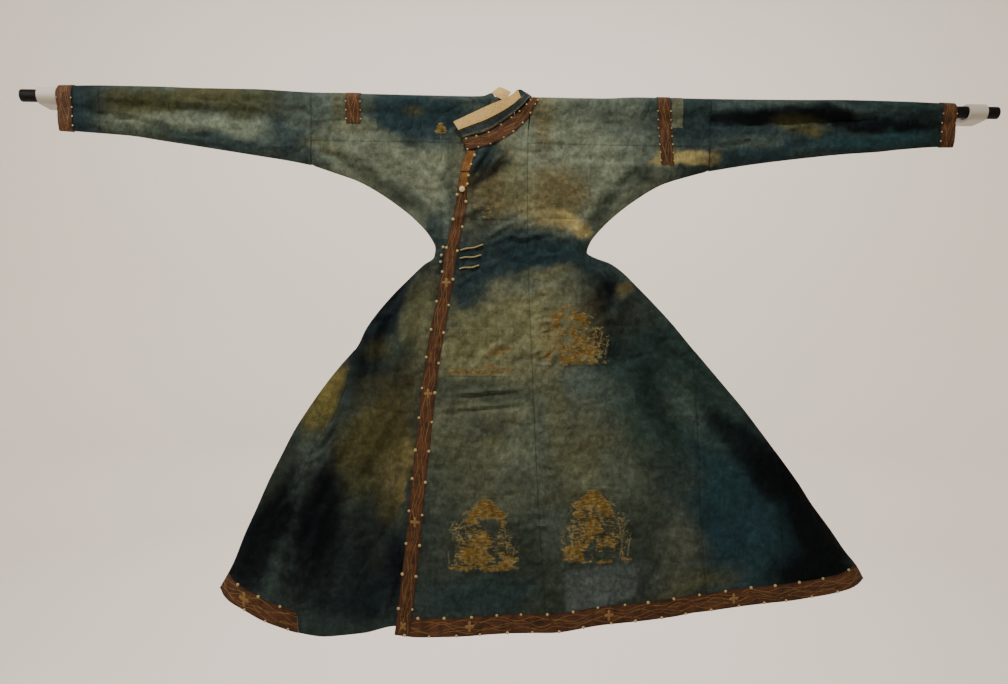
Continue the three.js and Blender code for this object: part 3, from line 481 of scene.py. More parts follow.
front_seam = seam("outer", FRONT_SEAM)
wrap_edge = seam("outer", WRAP_EDGE)
underlap_edge = seam("inner", UNDERLAP_EDGE)
inner_seam = seam("inner", INNER_SEAM)


def gore_seam(layer, name, places, top):
    """A gore's inner seam, which runs just past the side seam above the gore's top."""
    line = seam(layer, places)
    return lambda h: np.where(h >= top, side[name](h) + (1 if name == "left" else -1), line(h))


gore = {
    "inner_left": gore_seam("inner", "left", GORE_SEAM_LEFT, GORE_TOP["left"]),
    "outer_right": gore_seam("outer", "right", GORE_SEAM_RIGHT, GORE_TOP["right"]),
    "outer_corner": gore_seam("outer", "right", CORNER_SEAM_RIGHT, GORE_TOP["corner"]),
    "back_left": gore_seam("back", "left", GORE_SEAM_LEFT, GORE_TOP["left"]),
    "back_right": gore_seam("back", "right", GORE_SEAM_RIGHT, GORE_TOP["right"]),
}


def edge_line(name):
    """The robe's outline on one side, along the sleeve's bottom and down the side seam."""
    xs = np.linspace(CUFF_END[name], SLEEVE_SEAM[name], 40)
    sleeve = np.stack([xs, sleeve_bottom[name](xs)], 1)
    start = sleeve[-1, 1]
    hs = np.linspace(start, HEM_Z - EDGE_ROUNDING, 90)[1:]
    return np.concatenate([sleeve, np.stack([side[name](hs), hs], 1)])


edge = {name: edge_line(name) for name in ("left", "right")}


def rounding(distance):
    """How full the cloth is, from its edge (0) to EDGE_ROUNDING inside it (1)."""
    return 1 - (1 - np.minimum(distance / EDGE_ROUNDING, 1)) ** 2


def edge_rounding(x, h):
    return rounding(np.minimum(to_line(edge["left"], x, h)[0], to_line(edge["right"], x, h)[0]))


def ridges(name, x, h):
    """The skirt's broad waves, which fan out from the waist to the hem."""
    hem_x = x / mix(0.3, 1, fall(h))
    total = sum(d * np.exp(-(((hem_x - at) / w) ** 2)) for at, d, w in HEM_RIDGES[name])
    return total * fall(h) ** 1.4


def folds(name, x, h):
    return sum(
        d * np.exp(-((to_line([(ax, az), (bx, bz)], x, h)[0] / w) ** 2))
        for ax, az, bx, bz, d, w in FOLDS[name]
    )


def strewn(name):
    """The small creases of a layer, as depth, width and places."""
    rng = np.random.default_rng(CREASE_SEED + len(name))
    made = []
    for x0, x1, z0, z1, count, length, angle, stray, depth, width in GATHERS[name]:
        for _ in range(int(count)):
            centre = np.array([rng.uniform(x0, x1), rng.uniform(z0, z1)])
            turn = math.radians(angle + rng.normal(0, stray / 2))
            reach = length * rng.uniform(0.35, 0.7) * np.array([math.cos(turn), math.sin(turn)])
            bow = rng.normal(0, 0.12) * reach[::-1] * (1, -1)
            sign = -1 if rng.random() < 0.55 else 1
            line = [centre - reach, centre + bow, centre + reach]
            made.append((sign * depth * rng.uniform(0.6, 1.9), width * rng.uniform(0.7, 1.3), line))
    return made


def drawn(text):
    """The creases of a text, as depth, width and places."""
    rows = [[float(value) for value in line.split()] for line in text.strip().splitlines()]
    return [(depth, width, list(zip(line[::2], line[1::2]))) for depth, width, *line in rows]


CREASES = {name: drawn(text) + strewn(name) for name, text in DRAWN_CREASES.items()}


def creases(name, x, z):
    """Soft troughs and ridges that taper at both ends; the cloth lifts a little beside a trough."""
    total = np.zeros(np.shape(x))
    for depth, width, points in CREASES[name]:
        reach = CREASE_REACH * width
        lowest, highest = np.min(points, 0) - reach, np.max(points, 0) + reach
        near = (x > lowest[0]) & (x < highest[0]) & (z > lowest[1]) & (z < highest[1])
        if not near.any():
            continue
        away, along = to_line(points, x[near], z[near])
        taper = np.sin(np.pi * np.clip(along * 0.94 + 0.03, 0, 1)) ** 0.7
        beside = np.exp(-(((away - 2 * width) / width) ** 2))
        shape = np.exp(-((away / width) ** 2)) - RISE_BESIDE * beside
        total[near] += CREASE_STRENGTH * depth * taper * shape
    for height, size, seed in UNEVEN:
        total = total + height * cloud(x, z, size, seed)
    return total


def corner_lean(x, h):
    """The wrap's top corner leans forward of a line from the neck border to the front border."""
    from_x, from_z, to_x, to_z, depth, width = CORNER_LEAN
    dx, dz = to_x - from_x, to_z - from_z
    outside = ((x - from_x) * dz - (h - from_z) * dx) / math.hypot(dx, dz)
    return depth * smooth(outside, 0, width) * smooth(-h, 40, 100) * (1 - smooth(-h, 160, 240))


def middle(x, h):
    return -swing(h) - ridges("both", x, h)


def half(h, full):
    return mix(EDGE_HALF, half_depth(h), full)


def relief(name, x, h):
    return ridges(name, x, h) + folds(name, x, h)


def small_creases(layer, x, h):
    return creases(layer, x, h + droop(layer, x, h))


def face_inner(x, h):
    full = edge_rounding(x, h)
    form = relief("front", x, h) + small_creases("inner", x, h)
    return middle(x, h) - half(h, full) - form * full


def face_outer(x, h):
    full = edge_rounding(x, h)
    past = smooth(x, underlap_edge(h) + 15, underlap_edge(h) + 75)
    lift = overlap_lift(h) * (1 - past) * rounding(to_line(edge["right"], x, h)[0])
    small = small_creases("outer", x, h)
    before = np.maximum(lift + corner_lean(x, h) + small * full, LEAST_LIFT - 14 * past)
    before = np.where(h > -60, np.minimum(before, lift + 2), before)  # flat under the collar
    return middle(x, h) - half(h, full) - relief("front", x, h) * full - before


def face_back(x, h):
    full = edge_rounding(x, h)
    form = relief("back", x, h) + small_creases("back", x, h)
    return middle(x, h) + half(h, full) + form * full


FACE = {"inner": face_inner, "outer": face_outer, "back": face_back}
OUTWARD = {"inner": -1, "outer": -1, "back": 1}


def place(layer, x, h, out=0.0):
    """The places at x on row h of a layer, moved out of its face."""
    x, h = np.broadcast_arrays(np.asarray(x, float), np.asarray(h, float))
    y = FACE[layer](x, h) + OUTWARD[layer] * out
    return np.stack([x, y, h + droop(layer, x, h)], -1)


# ---------------------------------------------------------------- meshes
def grid_faces(rows, columns, ring=False):
    across = np.arange(columns if ring else columns - 1)
    r, c = np.meshgrid(np.arange(rows - 1), across, indexing="ij")
    a = r * columns + c
    b = r * columns + (c + 1) % columns
    return np.stack([a, b, b + columns, a + columns], -1).reshape(-1, 4)


def turned_out(points, faces):
    """The faces, turned round if they face inwards."""
    a, b, c, d = (points[faces[:, k]] for k in range(4))
    volume = (a * np.cross(b, c)).sum() + (a * np.cross(c, d)).sum()
    return faces if volume > 0 else faces[:, ::-1]


def add_mesh(name, points, faces, material, layers=None, sharp=50):
    """A mesh from places in millimetres, with named values or colours at its points."""
    mesh = bpy.data.meshes.new(name)
    mesh.from_pydata((np.asarray(points) * MM).tolist(), [], [list(f) for f in faces])
    mesh.update()
    for key, values in (layers or {}).items():
        values = np.asarray(values, float)
        if values.ndim == 1:
            mesh.attributes.new(key, "FLOAT", "POINT").data.foreach_set("value", values)
        else:
            rgba = np.concatenate([values, np.ones((len(values), 1))], 1)
            mesh.attributes.new(key, "FLOAT_COLOR", "POINT").data.foreach_set("color", rgba.ravel())
    mesh.shade_smooth()
    mesh.set_sharp_from_angle(angle=math.radians(sharp))
    mesh.materials.append(material)
    obj = bpy.data.objects.new(name, mesh)
    bpy.context.scene.collection.objects.link(obj)
    return obj


def add_wall(name, outer, inner, material, layers=None, ring=False):
    """The closed wall between two grids of places; a ring's rows close on themselves."""
    rows, columns = outer.shape[:2]
    count = rows * columns
    points = np.concatenate([outer.reshape(-1, 3), inner.reshape(-1, 3)])
    front = grid_faces(rows, columns, ring)
    parts = [front, front[:, ::-1] + count]
    across = np.arange(columns if ring else columns - 1)
    after, last = (across + 1) % columns, (rows - 1) * columns
    rims = [(across, after, True), (last + across, last + after, False)]
    if not ring:
        down = np.arange(rows - 1) * columns
        rims += [(down, down + columns, False), (columns - 1 + down, 2 * columns - 1 + down, True)]
    for a, b, flip in rims:
        rim = np.stack([a, b, b + count, a + count], -1)
        parts.append(rim[:, ::-1] if flip else rim)
    faces = turned_out(points, np.concatenate(parts))
    both = {}
    for key, values in (layers or {}).items():
        values = np.asarray(values, float)
        values = values.reshape(count, -1) if values.ndim == 3 else values.reshape(count)
        both[key] = np.concatenate([values, values])
    return add_mesh(name, points, faces, material, both)


# ---------------------------------------------------------------- colours of the worn silk
def linear(code):
    """A #rrggbb colour as linear values."""
    srgb = np.array([int(code[i : i + 2], 16) for i in (1, 3, 5)]) / 255
    return np.where(srgb <= 0.04045, srgb / 12.92, ((srgb + 0.055) / 1.055) ** 2.4)


DYES = """
ground #242e2d  bluenavy #19282c  navy #1e2b2c  slatedark #293029  slate #3d4741
slateolive #41453a  sage #586051  sagedark #4b5040  sagepale #69705d  khaki #5c5d43
olive #4b4d37  umber #4f4c35  umberdark #393622  barkpale #504b33  bark #3a3920
barkdark #2e301c  moss #2c3124  mossdark #29312a  straw #877d50  hay #4e492d  ochre #4e4825
ochrepale #6a6140  night #04070a  bluenight #0c1417  teal #1f2f2b  tealdark #1f2f2d
tealblue #1b3337  ocean #182c32  steel #3f4846
""".split()
DYE = {name: linear(code) for name, code in zip(DYES[::2], DYES[1::2])}

# Faded places, stains and a few painted shadows: x, z, half width, half height, turn in degrees, dye,
# strength, how soft.
# The outer rows at x -92, -64, -90 and -84 (z -110 to -181) are painted shadow under the neck border's
# fold, over the silk's own navy.
STAINS_AND_SHADE = {
    "outer": """
-787 -44 314 95 4 slate 0.9 0.5
-270 -153 177 178 20 sage 0.85 0.45
-44 -185 107 143 0 umber 0.75 0.5
159 -134 192 178 0 sage 0.9 0.45
727 -29 415 81 3 navy 1 0.4
7 -590 191 178 0 khaki 0.95 0.45
-39 -805 203 178 0 sagedark 0.9 0.5
200 -779 168 262 25 slate 0.85 0.5
201 -875 144 143 0 olive 0.55 0.6
107 -1090 311 167 0 slatedark 0.9 0.5
417 -778 145 357 -36 teal 0.85 0.5
516 -994 146 190 -30 ocean 0.9 0.5
-1030 -31 52 80 0 bluenavy 0.95 0.5
-938 -11 65 33 8 bark 0.75 0.8
-868 -14 93 38 4 barkdark 0.9 0.6
-677 -13 121 40 3 barkdark 0.85 0.6
-741 2 70 19 4 umberdark 0.6 0.7
-593 0 47 21 0 moss 0.6 0.8
-937 -58 60 19 6 sage 0.55 0.8
-786 -65 121 21 8 sage 0.75 0.6
-647 -79 84 19 10 sage 0.6 0.7
-844 -87 139 17 9 moss 0.7 0.6
-716 -106 140 19 11 navy 0.8 0.5
-548 -87 52 40 12 navy 0.85 0.6
-518 -32 38 43 0 slate 0.6 0.7
-450 -21 47 40 0 slate 0.8 0.5
-410 -72 56 21 0 olive 0.5 0.8
-254 -27 128 62 4 bluenavy 1 0.25
-223 -93 90 29 6 bluenavy 0.75 0.5
-238 -15 21 12 0 bark 0.65 0.9
-318 -2 52 12 0 navy 0.5 0.8
-447 -125 56 19 18 olive 0.6 0.7
-317 -132 99 33 14 sage 0.75 0.6
-210 -183 57 57 20 sagepale 0.6 0.7
-282 -170 57 33 24 sage 0.55 0.7
-376 -167 61 17 28 moss 0.7 0.6
-269 -236 61 19 40 slatedark 0.75 0.6
-172 -268 28 62 10 slate 0.7 0.7
-200 -311 24 43 -14 navy 0.75 0.6
-158 -163 14 81 4 slatedark 0.6 0.7
-92 -110 38 24 -34 navy 0.95 0.45
-64 -138 29 38 30 slatedark 0.7 0.6
-7 -113 19 62 4 sage 0.55 0.7
-67 -228 57 52 0 barkpale 0.7 0.7
-20 -175 33 52 0 olive 0.6 0.7
-95 -293 33 33 -20 slatedark 0.8 0.6
-31 -299 62 19 -22 slate 0.55 0.7
64 -36 24 62 0 barkpale 0.7 0.6
90 -207 72 62 0 barkpale 0.85 0.6
47 -267 38 33 0 straw 0.35 0.9
50 -5 57 14 0 olive 0.6 0.8
146 -15 53 29 0 slate 0.55 0.8
242 -37 82 38 8 slate 0.65 0.6
195 -110 62 29 -10 sagepale 0.35 0.9
291 -108 48 48 0 slate 0.6 0.7
219 -177 72 29 -38 sage 0.6 0.7
201 -244 62 21 -46 slatedark 0.85 0.5
291 -161 58 17 -22 slatedark 0.8 0.5
114 -278 41 19 40 straw 0.95 0.5
86 -284 38 17 0 ochrepale 0.7 0.7
148 -307 14 21 30 straw 0.7 0.6
410 4 63 19 0 tealdark 0.7 0.6
314 12 39 19 0 navy 0.5 0.8
402 -133 62 19 -10 straw 1 0.4
368 -126 22 19 0 straw 0.6 0.7
448 -123 22 14 -20 ochrepale 0.7 0.7
367 -30 24 33 0 moss 0.6 0.7
435 -58 63 38 0 navy 0.8 0.5
653 11 146 14 2 slate 0.55 0.7
788 -28 245 21 3 night 0.95 0.45
561 -25 97 21 4 night 0.7 0.6
678 -49 63 17 10 bark 0.75 0.7
708 -75 22 10 0 ochre 0.6 0.8
557 -82 83 14 -6 slate 0.55 0.7
581 -108 146 19 -8 bluenavy 0.8 0.5
874 -75 152 19 -5 tealblue 0.8 0.5
935 11 98 14 2 tealdark 0.6 0.6
997 -24 59 33 0 night 0.5 0.6
5 -370 186 40 -3 bluenavy 1 0.3
-95 -381 81 48 -24 navy 0.8 0.5
-113 -434 52 29 -38 bluenavy 0.85 0.45
168 -378 58 33 20 navy 0.8 0.5
65 -334 96 19 2 navy 0.7 0.5
6 -435 95 21 -4 slate 0.55 0.8
73 -413 43 14 0 olive 0.5 0.8
-29 -507 86 62 -10 olive 0.55 0.8
198 -469 38 62 28 night 0.9 0.5
251 -540 43 86 34 night 0.85 0.5
265 -439 19 21 34 umber 0.9 0.6
168 -426 38 19 30 slatedark 0.7 0.7
126 -541 72 62 0 umber 0.45 0.9
314 -575 53 119 38 tealdark 0.8 0.6
294 -511 43 62 38 slatedark 0.6 0.7
-75 -688 109 31 0 mossdark 0.7 0.5
-112 -591 52 38 0 bark 0.35 0.9
175 -672 72 40 8 slate 0.75 0.6
94 -708 29 95 0 olive 0.6 0.7
-86 -781 52 33 30 slatedark 0.6 0.7
-39 -757 33 24 0 night 0.35 0.8
-58 -809 21 17 0 olive 0.75 0.7
-129 -853 52 57 0 moss 0.6 0.8
-2 -852 43 38 0 sage 0.35 0.9
165 -827 62 52 0 olive 0.55 0.8
250 -899 38 71 -10 slate 0.5 0.8
344 -707 34 81 -34 night 0.55 0.7
441 -754 29 95 -34 slate 0.45 0.8
384 -874 53 71 -30 slatedark 0.6 0.7
491 -874 39 95 -28 tealblue 0.6 0.8
527 -802 34 143 -36 night 0.75 0.6
662 -946 63 178 -36 night 1 0.45
724 -1090 103 62 -20 night 1 0.45
553 -1042 87 81 -10 ocean 0.7 0.7
445 -1138 97 33 -8 slatedark 0.7 0.6
386 -1042 53 100 -8 slateolive 0.75 0.6
421 -1150 82 21 -10 olive 0.45 0.9
299 -1019 53 71 0 slatedark 0.6 0.7
232 -1138 106 52 -4 steel 0.4 0.3
300 -1150 39 29 10 night 0.35 0.8
72 -1162 57 48 0 slatedark 0.6 0.7
-83 -1162 119 57 -4 navy 0.95 0.5
-108 -1043 119 71 0 slatedark 0.5 0.8
87 -1019 48 57 0 slate 0.5 0.8
-37 -948 71 29 0 sagedark 0.5 0.8
130 -947 58 24 0 bark 0.3 0.9
-90 -146 44 26 -43 navy 0.95 0.4
-84 -181 62 12 -43 night 0.85 0.6
-1020 -30 60 80 0 bluenight 0.45 0.6
317 -592 60 80 38 bluenight 0.4 0.7
127 -471 45 40 0 slateolive 0.6 0.8
-314 -138 60 45 14 slateolive 0.35 0.8
103 -209 60 50 0 umberdark 0.3 0.8
""",
    "inner": """
-302 -545 71 143 28 bluenight 1 0.5
-208 -449 71 38 -40 bluenight 1 0.4
-231 -568 38 143 10 olive 0.85 0.6
-277 -652 47 57 24 bluenight 0.7 0.6
-268 -592 28 33 0 tealdark 0.5 0.8
-316 -593 33 29 0 bark 0.5 0.8
-323 -830 94 133 14 bark 0.95 0.5
-277 -746 43 95 10 umberdark 0.6 0.8
-358 -925 52 62 10 moss 0.6 0.8
-449 -712 35 86 28 ochre 1 0.35
-474 -755 28 52 28 bark 0.6 0.8
-493 -807 56 24 -40 slatedark 0.8 0.6
-476 -859 42 62 20 slate 0.65 0.6
-440 -878 14 52 20 steel 0.45 0.8
-463 -996 61 167 12 night 1 0.5
-615 -996 70 178 24 night 1 0.4
-569 -878 33 81 26 slatedark 0.6 0.6
-631 -1043 21 71 20 bluenavy 0.25 0.8
-321 -1090 80 119 0 bluenight 0.95 0.5
-340 -1055 33 62 10 slatedark 0.3 0.9
-274 -1090 24 95 6 night 0.6 0.7
-391 -1185 94 43 0 bluenight 0.8 0.5
-287 -901 24 62 8 barkpale 0.5 0.8
-259 -837 14 36 3 hay 1 0.3
-263 -922 14 33 4 hay 0.95 0.3
-286 -972 28 33 0 bark 0.5 0.8
-590 -1042 44 100 24 night 0.85 0.5
-421 -1090 50 70 10 bluenight 0.4 0.7
""",
}
# Corners of the darned place above the hem, anticlockwise.
DARN = [(116, -1113), (119, -1209), (215, -1192), (284, -1166), (293, -1125), (276, -1086)]
# The silk's mottling: strength, stretch of x and of z, size, seed.
MOTTLE = [(0.20, 1, 1, 90, 61), (0.15, 1, 0.7, 24, 71), (0.16, 0.5, 1, 9, 77)]
STAIN_AND_SHADE_SEED = {"outer": 100, "inner": 200}


def stain_and_shade_rows(text):
    """The places of a text: stains, and the painted shadows among them."""
    rows = [line.split() for line in text.strip().splitlines()]
    return [(*map(float, row[:5]), row[5], *map(float, row[6:])) for row in rows]


def within(corners, x, z, soft):
    """1 inside a place with straight sides and 0 outside, softened along its rim."""
    depth = np.full(np.shape(x), np.inf)
    for (a_x, a_z), (b_x, b_z) in zip(corners, corners[1:] + corners[:1]):
        away = (b_x - a_x) * (z - a_z) - (b_z - a_z) * (x - a_x)
        depth = np.minimum(depth, away / math.hypot(b_x - a_x, b_z - a_z))
    return smooth(depth, -soft, soft)


def stained_and_shaded(name, x, z):
    """The ground with each stain and each painted shadow laid over it, with wandering edges."""
    seed = STAIN_AND_SHADE_SEED[name]
    tone = np.broadcast_to(DYE["ground"], (len(x), 3)).copy()
    wander_x = x + 26 * cloud(x, z, 120, seed) + 5 * cloud(x, z, 22, seed + 1)
    wander_z = z + 26 * cloud(x, z, 120, seed + 2) + 5 * cloud(x, z, 22, seed + 3)
    rows = enumerate(stain_and_shade_rows(STAINS_AND_SHADE[name]))
    for number, (at_x, at_z, wide, high, turn, dye, strength, soft) in rows:
        angle = math.radians(-turn)
        dx, dz = wander_x - at_x, wander_z - at_z
        u = (dx * math.cos(angle) + dz * math.sin(angle)) / wide
        v = (-dx * math.sin(angle) + dz * math.cos(angle)) / high
        far = np.hypot(u, v)
        near = far < 2.4
        if not near.any():
            continue
        ragged = far[near] + 0.22 * cloud(x[near], z[near], 60, seed + 10 + number)
        ragged += 0.16 * cloud(x[near], z[near], 14, seed + 4)
        mask = strength * (1 - smooth(ragged, 1 - soft, 1 + soft))
        tone[near] = mix(tone[near], DYE[dye], mask[:, None])
    return tone


def tone_at(layer, x, z):
    """The silk's colour at each place of a layer."""
    shape = np.shape(x)
    x, z = np.ravel(x).astype(float), np.ravel(z).astype(float)
    if layer == "back":
        drift = cloud(x, z, 260, 31)
        tone = mix(DYE["ground"], DYE["olive"], (0.75 * smooth(drift, -0.1, 0.6))[:, None])
        tone = mix(tone, DYE["navy"], (0.8 * smooth(-drift, 0.05, 0.6))[:, None])
        low = smooth(-z, 700, 1150) * smooth(cloud(x, z, 180, 41), -0.5, 0.4)
        tone = mix(tone, DYE["teal"], (0.6 * low)[:, None])
    else:
        tone = stained_and_shaded("outer", x, z)
        tone = mix(tone, DYE["steel"], (0.7 * within(DARN, x, z, 4))[:, None])
        if layer == "inner":
            skirt = z < WAIST_Z + 40
            tone = np.where(skirt[:, None], stained_and_shaded("inner", x, z), tone)
    mottle = 1
    for strength, stretch_x, stretch_z, size, seed in MOTTLE:
        mottle = mottle + strength * cloud(x * stretch_x, z * stretch_z, size, seed)
    return (tone * mottle[:, None]).reshape(*shape, 3)


# ---------------------------------------------------------------- materials
class Nodes:
    """A material's nodes, made one by one."""

    def __init__(self, name):
        self.material = bpy.data.materials.new(name)
        self.material.use_nodes = True
        self.tree = self.material.node_tree
        self.shader = self.tree.nodes["Principled BSDF"]

    def link(self, value, socket):
        if isinstance(value, bpy.types.NodeSocket):
            self.tree.links.new(value, socket)
        else:
            socket.default_value = value if np.isscalar(value) else tuple(value)

    def attribute(self, name, colour=False):
        node = self.tree.nodes.new("ShaderNodeAttribute")
        node.attribute_name = name
        return node.outputs["Color" if colour else "Fac"]

    def math(self, operation, a, b=0.0, clamp=False):
        node = self.tree.nodes.new("ShaderNodeMath")
        node.operation = operation
        node.use_clamp = clamp
        self.link(a, node.inputs[0])
        self.link(b, node.inputs[1])
        return node.outputs[0]

    def stretched(self, scale):
        spot = self.tree.nodes.new("ShaderNodeTexCoord")
        mapping = self.tree.nodes.new("ShaderNodeMapping")
        mapping.inputs["Scale"].default_value = scale
        self.tree.links.new(spot.outputs["Object"], mapping.inputs["Vector"])
        return mapping.outputs["Vector"]

    def noise(self, scale, stretch=(1, 1, 1), detail=3.0, rough=0.55):
        node = self.tree.nodes.new("ShaderNodeTexNoise")
        self.link(self.stretched(stretch), node.inputs["Vector"])
        node.inputs["Scale"].default_value = scale
        node.inputs["Detail"].default_value = detail
        node.inputs["Roughness"].default_value = rough
        return node.outputs["Fac"]

    def range(self, value, low, high, to_low=0.0, to_high=1.0):
        node = self.tree.nodes.new("ShaderNodeMapRange")
        node.interpolation_type = "SMOOTHSTEP"
        for socket, v in zip(node.inputs, (value, low, high, to_low, to_high)):
            self.link(v, socket)
        return node.outputs[0]

    def mix(self, a, b, factor):
        node = self.tree.nodes.new("ShaderNodeMix")
        node.data_type = "RGBA"
        self.link(factor, node.inputs[0])
        self.link(a if isinstance(a, bpy.types.NodeSocket) else (*a, 1), node.inputs[6])
        self.link(b if isinstance(b, bpy.types.NodeSocket) else (*b, 1), node.inputs[7])
        return node.outputs[2]

    def scaled(self, colour, factor):
        node = self.tree.nodes.new("ShaderNodeVectorMath")
        node.operation = "SCALE"
        self.link(colour, node.inputs[0])
        self.link(factor, node.inputs["Scale"])
        return node.outputs[0]

    def bump(self, height, distance, strength, normal=None):
        node = self.tree.nodes.new("ShaderNodeBump")
        node.inputs["Distance"].default_value = distance
        node.inputs["Strength"].default_value = strength
        self.link(height, node.inputs["Height"])
        if normal is not None:
            self.link(normal, node.inputs["Normal"])
        return node.outputs[0]

    def finish(self, colour, roughness, normal=None, sheen=0.0, specular=0.5):
        if not isinstance(colour, bpy.types.NodeSocket):
            colour = (*colour, 1)
        self.link(colour, self.shader.inputs["Base Color"])
        self.link(roughness, self.shader.inputs["Roughness"])
        self.shader.inputs["Specular IOR Level"].default_value = specular
        if sheen:
            self.shader.inputs["Sheen Weight"].default_value = sheen
            self.shader.inputs["Sheen Roughness"].default_value = 0.5
        if normal is not None:
            self.link(normal, self.shader.inputs["Normal"])
        return self.material


GOLD = linear("#52401a")
PALE_GOLD = linear("#6a6040")
SEAM_TONE = linear("#0d1112")
WAVE_GOLD = linear("#7d6030")
RIM_BROWN = linear("#1d1109")
# Fine crumpling of the worn cloth: noise scale, stretch and depth in metres.
CRUMPLES = [(8, (0.7, 1.0, 1.5), 0.0034), (24, (1.3, 1.0, 0.8), 0.0016)]
# Each wavy line of a border: place across it, how far it swings, wavelength in metres, shift and
# half width.
WAVES = [
    (-0.52, 0.20, 0.081, 0.0, 0.05),
    (-0.24, 0.26, 0.118, 1.9, 0.045),
    (0.02, 0.34, 0.094, 3.1, 0.05),
    (0.26, 0.26, 0.126, 4.4, 0.045),
    (0.54, 0.20, 0.087, 5.6, 0.05),
]


def silk_material():
    """Dyed silk: its tone is on the points; worn gold thread lies where the gold value says."""
    n = Nodes("worn_silk")
    fine = n.noise(420, (1, 1, 2.4), 2)
    blotch = n.noise(38, (1, 1, 1.3), 5, 0.62)
    speck = n.noise(160, (0.5, 1, 1.6), 3, 0.6)
    wear = n.noise(120, (0.8, 1, 0.7), 6, 0.7)
    level = n.range(blotch, 0.3, 0.72, 0.82, 1.18)
    level = n.math("MULTIPLY", level, n.range(fine, 0.25, 0.75, 0.86, 1.14))
    level = n.math("MULTIPLY", level, n.range(wear, 0.34, 0.70, 0.76, 1.28))
    tone = n.scaled(n.attribute("tone", True), level)
    gold = n.attribute("gold")
    thread = n.attribute("thread")
    broken = n.range(n.math("ADD", speck, n.math("MULTIPLY", gold, 0.42)), 0.60, 0.78)
    gold_on = n.math("MULTIPLY", broken, n.range(gold, 0.02, 0.25))
    gilt = n.scaled(n.mix(GOLD, PALE_GOLD, n.range(speck, 0.45, 0.7)), level)
    tone = n.mix(tone, gilt, gold_on)
    stitched = n.math("MULTIPLY", thread, n.range(speck, 0.36, 0.52), clamp=True)
    tone = n.mix(tone, PALE_GOLD, stitched)
    tone = n.mix(tone, SEAM_TONE, n.math("MULTIPLY", n.attribute("seam"), 0.35))
    relief = n.math("ADD", n.math("MULTIPLY", gold_on, 0.6), n.math("MULTIPLY", thread, 0.9))
    weave = n.bump(n.math("ADD", fine, n.math("MULTIPLY", relief, 1.2)), 0.0006, 0.6)
    weave = n.bump(blotch, 0.003, 0.45, weave)
    for scale, stretch, depth in CRUMPLES:
        lines = n.math("ABSOLUTE", n.math("SUBTRACT", n.noise(scale, stretch, 2, 0.5), 0.5))
        weave = n.bump(n.range(lines, 0.0, 0.12), depth, 0.6, weave)
    return n.finish(tone, n.range(speck, 0.3, 0.7, 0.55, 0.72), weave, specular=0.05)


def border_material(name, ground, dark):
    """Brown woven band with wavy gold lines; across runs from -1 to 1, along is in metres."""
    n = Nodes(name)
    across, along = n.attribute("across"), n.attribute("along")
    fine = n.noise(500, detail=2)
    blotch = n.noise(45, detail=5, rough=0.65)
    worn = n.noise(60, detail=4, rough=0.65)
    drift = n.noise(14, detail=2, rough=0.5)
    base = n.mix(dark, ground, n.range(blotch, 0.30, 0.66))
    base = n.scaled(base, n.range(fine, 0.25, 0.75, 0.8, 1.2))
    lines = None
    for rest, reach, wave, shift, width in WAVES:
        phase = n.math("ADD", n.math("MULTIPLY", along, 2 * math.pi / wave), shift)
        wobble = n.math("MULTIPLY", n.math("SUBTRACT", drift, 0.5), 0.5)
        swung = n.math("MULTIPLY", n.math("SINE", phase), reach)
        path = n.math("ADD", n.math("ADD", swung, wobble), rest)
        line = n.range(n.math("ABSOLUTE", n.math("SUBTRACT", across, path)), width, width * 0.35)
        lines = line if lines is None else n.math("MAXIMUM", lines, line)
    lines = n.math("MULTIPLY", lines, n.range(worn, 0.30, 0.54))
    base = n.mix(base, WAVE_GOLD, n.math("MULTIPLY", lines, 0.48))
    rim = n.range(n.math("ABSOLUTE", across), 0.84, 0.97)
    base = n.mix(base, RIM_BROWN, n.math("MULTIPLY", rim, 0.6))
    height = n.math("ADD", fine, n.math("MULTIPLY", lines, 0.8))
    return n.finish(base, 0.72, n.bump(height, 0.0007, 0.6), sheen=0.03, specular=0.15)


def plain_material(name, code, roughness, scale=0, depth=0.0, vary=0.0, **more):
    """One colour, with a grain of that scale and depth whose tone varies."""
    n = Nodes(name)
    colour, normal = linear(code), None
    if scale:
        grain = n.noise(scale, detail=4, rough=0.6)
        normal = n.bump(grain, depth, 0.6)
        if vary:
            colour = n.scaled(colour, n.range(grain, 0.3, 0.7, 1 - vary, 1 + vary))
    return n.finish(colour, roughness, normal, **more)


silk = silk_material()
border = border_material("woven_border", linear("#452a17"), linear("#27170c"))
tab_cloth = border_material("orange_border", linear("#6e4a22"), linear("#432912"))
lining = plain_material("collar_lining", "#a98d55", 0.75, 220, 0.0012, 0.18, sheen=0.15, specular=0.25)
pearl = plain_material("cream_thread", "#948259", 0.6, 500, 0.0006, 0.12, specular=0.3)
petal = plain_material("petal_thread", "#6b5230", 0.7, 500, 0.0006, 0.15, specular=0.15)
button = plain_material("button_face", "#a99a76", 0.4, 120, 0.0004, 0.08)
cord_silk = plain_material("cord_silk", "#80704c", 0.7, 300, 0.0006, 0.2, sheen=0.1, specular=0.3)


# ---------------------------------------------------------------- pieces of cloth
ROWS = np.concatenate(
    [
        np.linspace(SHOULDER_SEAM_Z - SEAM, GORE_TOP["left"], 110),
        np.linspace(GORE_TOP["left"], GORE_TOP["corner"], 54)[1:],
        np.linspace(GORE_TOP["corner"], HEM_BORDER_Z, 58)[1:],
        np.linspace(HEM_BORDER_Z, HEM_Z, 7)[1:],
    ]
)
WRAP_TOP = -8  # the wrap's rows start here, over the shoulder seam
SEAM_DIP = 0.6  # how far the cloth sinks at a seam
SEAM_HALF = 1.6  # half of a seam line's width


def across_row(left, right, step):
    """x of the points from left to right on every row, with a narrow column at both ends."""
    wide = right - left
    count = max(int(wide.max() / step), 3)
    narrow = np.minimum(SEAM_HALF, wide / 4)[:, None]
    inner_x = mix(left[:, None] + narrow, right[:, None] - narrow, np.linspace(0, 1, count))
    return np.concatenate([left[:, None], inner_x, right[:, None]], 1)


